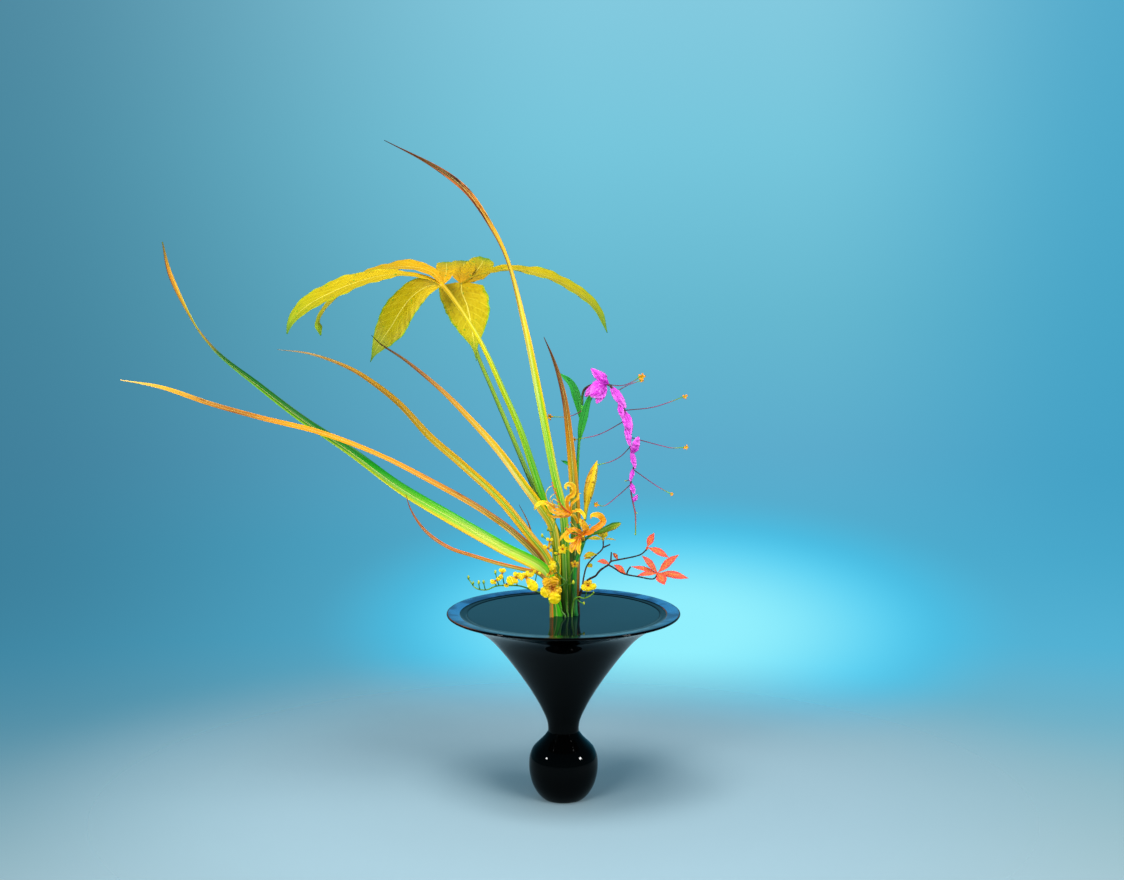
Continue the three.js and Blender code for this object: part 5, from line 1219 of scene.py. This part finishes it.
bm = newMesh()
rod(bm, twig["stem"], [(0, 2), (0.6, 1.6), (1, 1.2)], steps=90, ring=12, bumps=0.35)
for i, branch in enumerate(twig["branches"]):
    rod(bm, branch, [(0, 1.1), (0.9, 0.85), (1, 1.0)], steps=50, ring=9, bumps=0.35, seed=i)
closePiece("twigBark", bm, leafSkin("twigBark", twig["barkLook"]), "bark", "twig")
bm = newMesh()
for i, (base, tip, broad) in enumerate(twig["redLeaves"]):
    pointedLeaf(bm, base, tip, broad, i, tint=float(i == 2))
closePiece("twigRedLeaves", bm, leafSkin("twigRedLeaves", twig["redLook"]), "leaf_coral", "twig")
bm = newMesh()
for i, (base, tip, broad) in enumerate(twig["yellowLeaves"]):
    pointedLeaf(bm, base, tip, broad, i, tint=0.3 * (i % 2))
closePiece("twigYellowLeaves", bm, leafSkin("twigYellowLeaves", twig["yellowLook"]), "leaf_lime", "twig")
for name, whorl in whorls.items():
    bm = newMesh()
    rod(bm, whorl["hub"], whorl["radius"], steps=6, ring=12)
    for i, (base, tip, broad) in enumerate(whorl["leaves"]):
        pointedLeaf(bm, base, tip, broad, i)
    closePiece(f"whorl_{name}", bm, leafSkin(f"whorl_{name}", twig[whorl["look"]]), whorl["slot"],
               whorl["node"])
print("twig made")

# a plain pale floor that melts into a plain pale blue backdrop, and soft boxes
studio = {
    "floor": "a2bac2", "floorMark": "98b2bc", "floorReach": 30, "floorFade": (0.3, 0.85),
    # sky colours by the height of the sight line, from -1 straight down to 1 straight up
    "sky": [(-1, "b4ccd4"), (-0.322, "a8c8d2"), (-0.302, "9cc0ca"), (-0.278, "8cb8c6"), (-0.254, "6cb0c8"),
            (-0.229, "54b2d4"), (-0.19, "50aed0"), (-0.15, "5caccc"), (-0.09, "66b8d0"), (-0.02, "76c6dc"),
            (0.05, "84cadf"), (0.2, "59aece"), (1, "4f94b0")],
    "glow": {"edge": "46c8f0", "core": "92f0fe", "across": (0.045, 0.15), "up": (-0.224, 0.056)},
    "shade": "36708a", "rightShade": "3a9ec4", "frontShare": 0.45,
    "boxes": [
        {"place": (-1.9, -0.95, 0.95), "size": 0.24, "power": 34, "aim": (0, 0, 0.4), "mirrored": True},
        {"place": (1.9, -0.95, 0.95), "size": 0.3, "power": 62, "aim": (0, 0, 0.4), "mirrored": True},
        {"place": (-0.25, -0.9, 2.7), "size": 1.3, "power": 54, "aim": (0, -0.1, 0), "mirrored": False},
        {"place": (-1.3, -2.3, 1.2), "size": 1.2, "power": 50, "aim": (-0.1, 0, 0.4), "mirrored": False},
        {"place": (1.5, -1.9, 1.3), "size": 1.2, "power": 36, "aim": (0, 0, 0.4), "mirrored": False},
    ],
}

floorMesh = bpy.data.meshes.new("floor")
bm = bmesh.new()
bmesh.ops.create_grid(bm, x_segments=1, y_segments=1, size=studio["floorReach"])
bm.to_mesh(floorMesh)
bm.free()
floor = addObject("floor", floorMesh)
floorSkin = newSkin("floor")
floorPlace = floorSkin.objectPlace()
x, y, _ = floorSkin.parts(floorPlace)
reach = (x * x + y * y) ** 0.5
floorColour = floorSkin.mix(floorSkin.noise(floorPlace, 3.0, 2.0) * 0.3, rgb(studio["floor"]),
                            rgb(studio["floorMark"]))
floorMesh.materials.append(floorSkin.close(floorColour, 0.8, **{
    "Alpha": 1 - floorSkin.between(reach, *studio["floorFade"]), "Specular IOR Level": 0.1}))

sky = Skin(bpy.data.worlds.new("sky"))
x, y, z = sky.parts(sky.add("ShaderNodeTexCoord", {}, {}, output="Generated"))
colour = sky.ramp((z + 1) * 0.5, [((height + 1) / 2, code) for height, code in studio["sky"]])
(middleAcross, halfAcross), (middleUp, halfUp) = studio["glow"]["across"], studio["glow"]["up"]
glowAcross, glowUp = (x - middleAcross) * (1 / halfAcross), (z - middleUp) * (1 / halfUp)
behind = sky.between(y, 0.3, 0.8)
low = sky.between(z, -0.39, -0.19)
colour = sky.mix(sky.between(x, 0.02, -0.26) * behind * low * 0.8, colour, rgb(studio["shade"]))
colour = sky.mix(sky.between(x, 0.09, 0.24) * sky.between(z, -0.24, -0.15) * behind * 0.75, colour,
                 rgb(studio["rightShade"]))
glow = 1 - (glowAcross * glowAcross + glowUp * glowUp) ** 0.5
colour = sky.mix(sky.between(glow, -0.05, 0.5) * behind, colour, rgb(studio["glow"]["edge"]))
colour = sky.mix(sky.between(glow, 0.2, 0.85) * behind, colour, rgb(studio["glow"]["core"]))
strength = behind * (1 - studio["frontShare"]) + studio["frontShare"]
sky.add("ShaderNodeOutputWorld", {}, {0: sky.add("ShaderNodeBackground", {}, {0: colour, 1: strength})})
bpy.context.scene.world = sky.owner
for i, box in enumerate(studio["boxes"]):
    lamp = bpy.data.lights.new(f"box{i}", "AREA")
    lamp.size = box["size"]
    lamp.energy = box["power"]
    lampObject = addObject(f"box{i}", lamp)
    lampObject.location = box["place"]
    aim = Vector(box["aim"]) - Vector(box["place"])
    lampObject.rotation_euler = aim.to_track_quat("-Z", "Y").to_euler()
    lampObject.visible_glossy = box["mirrored"]
    lampObject.visible_diffuse = not box["mirrored"]
bpy.context.scene.view_settings.view_transform = "Standard"
print("studio made")
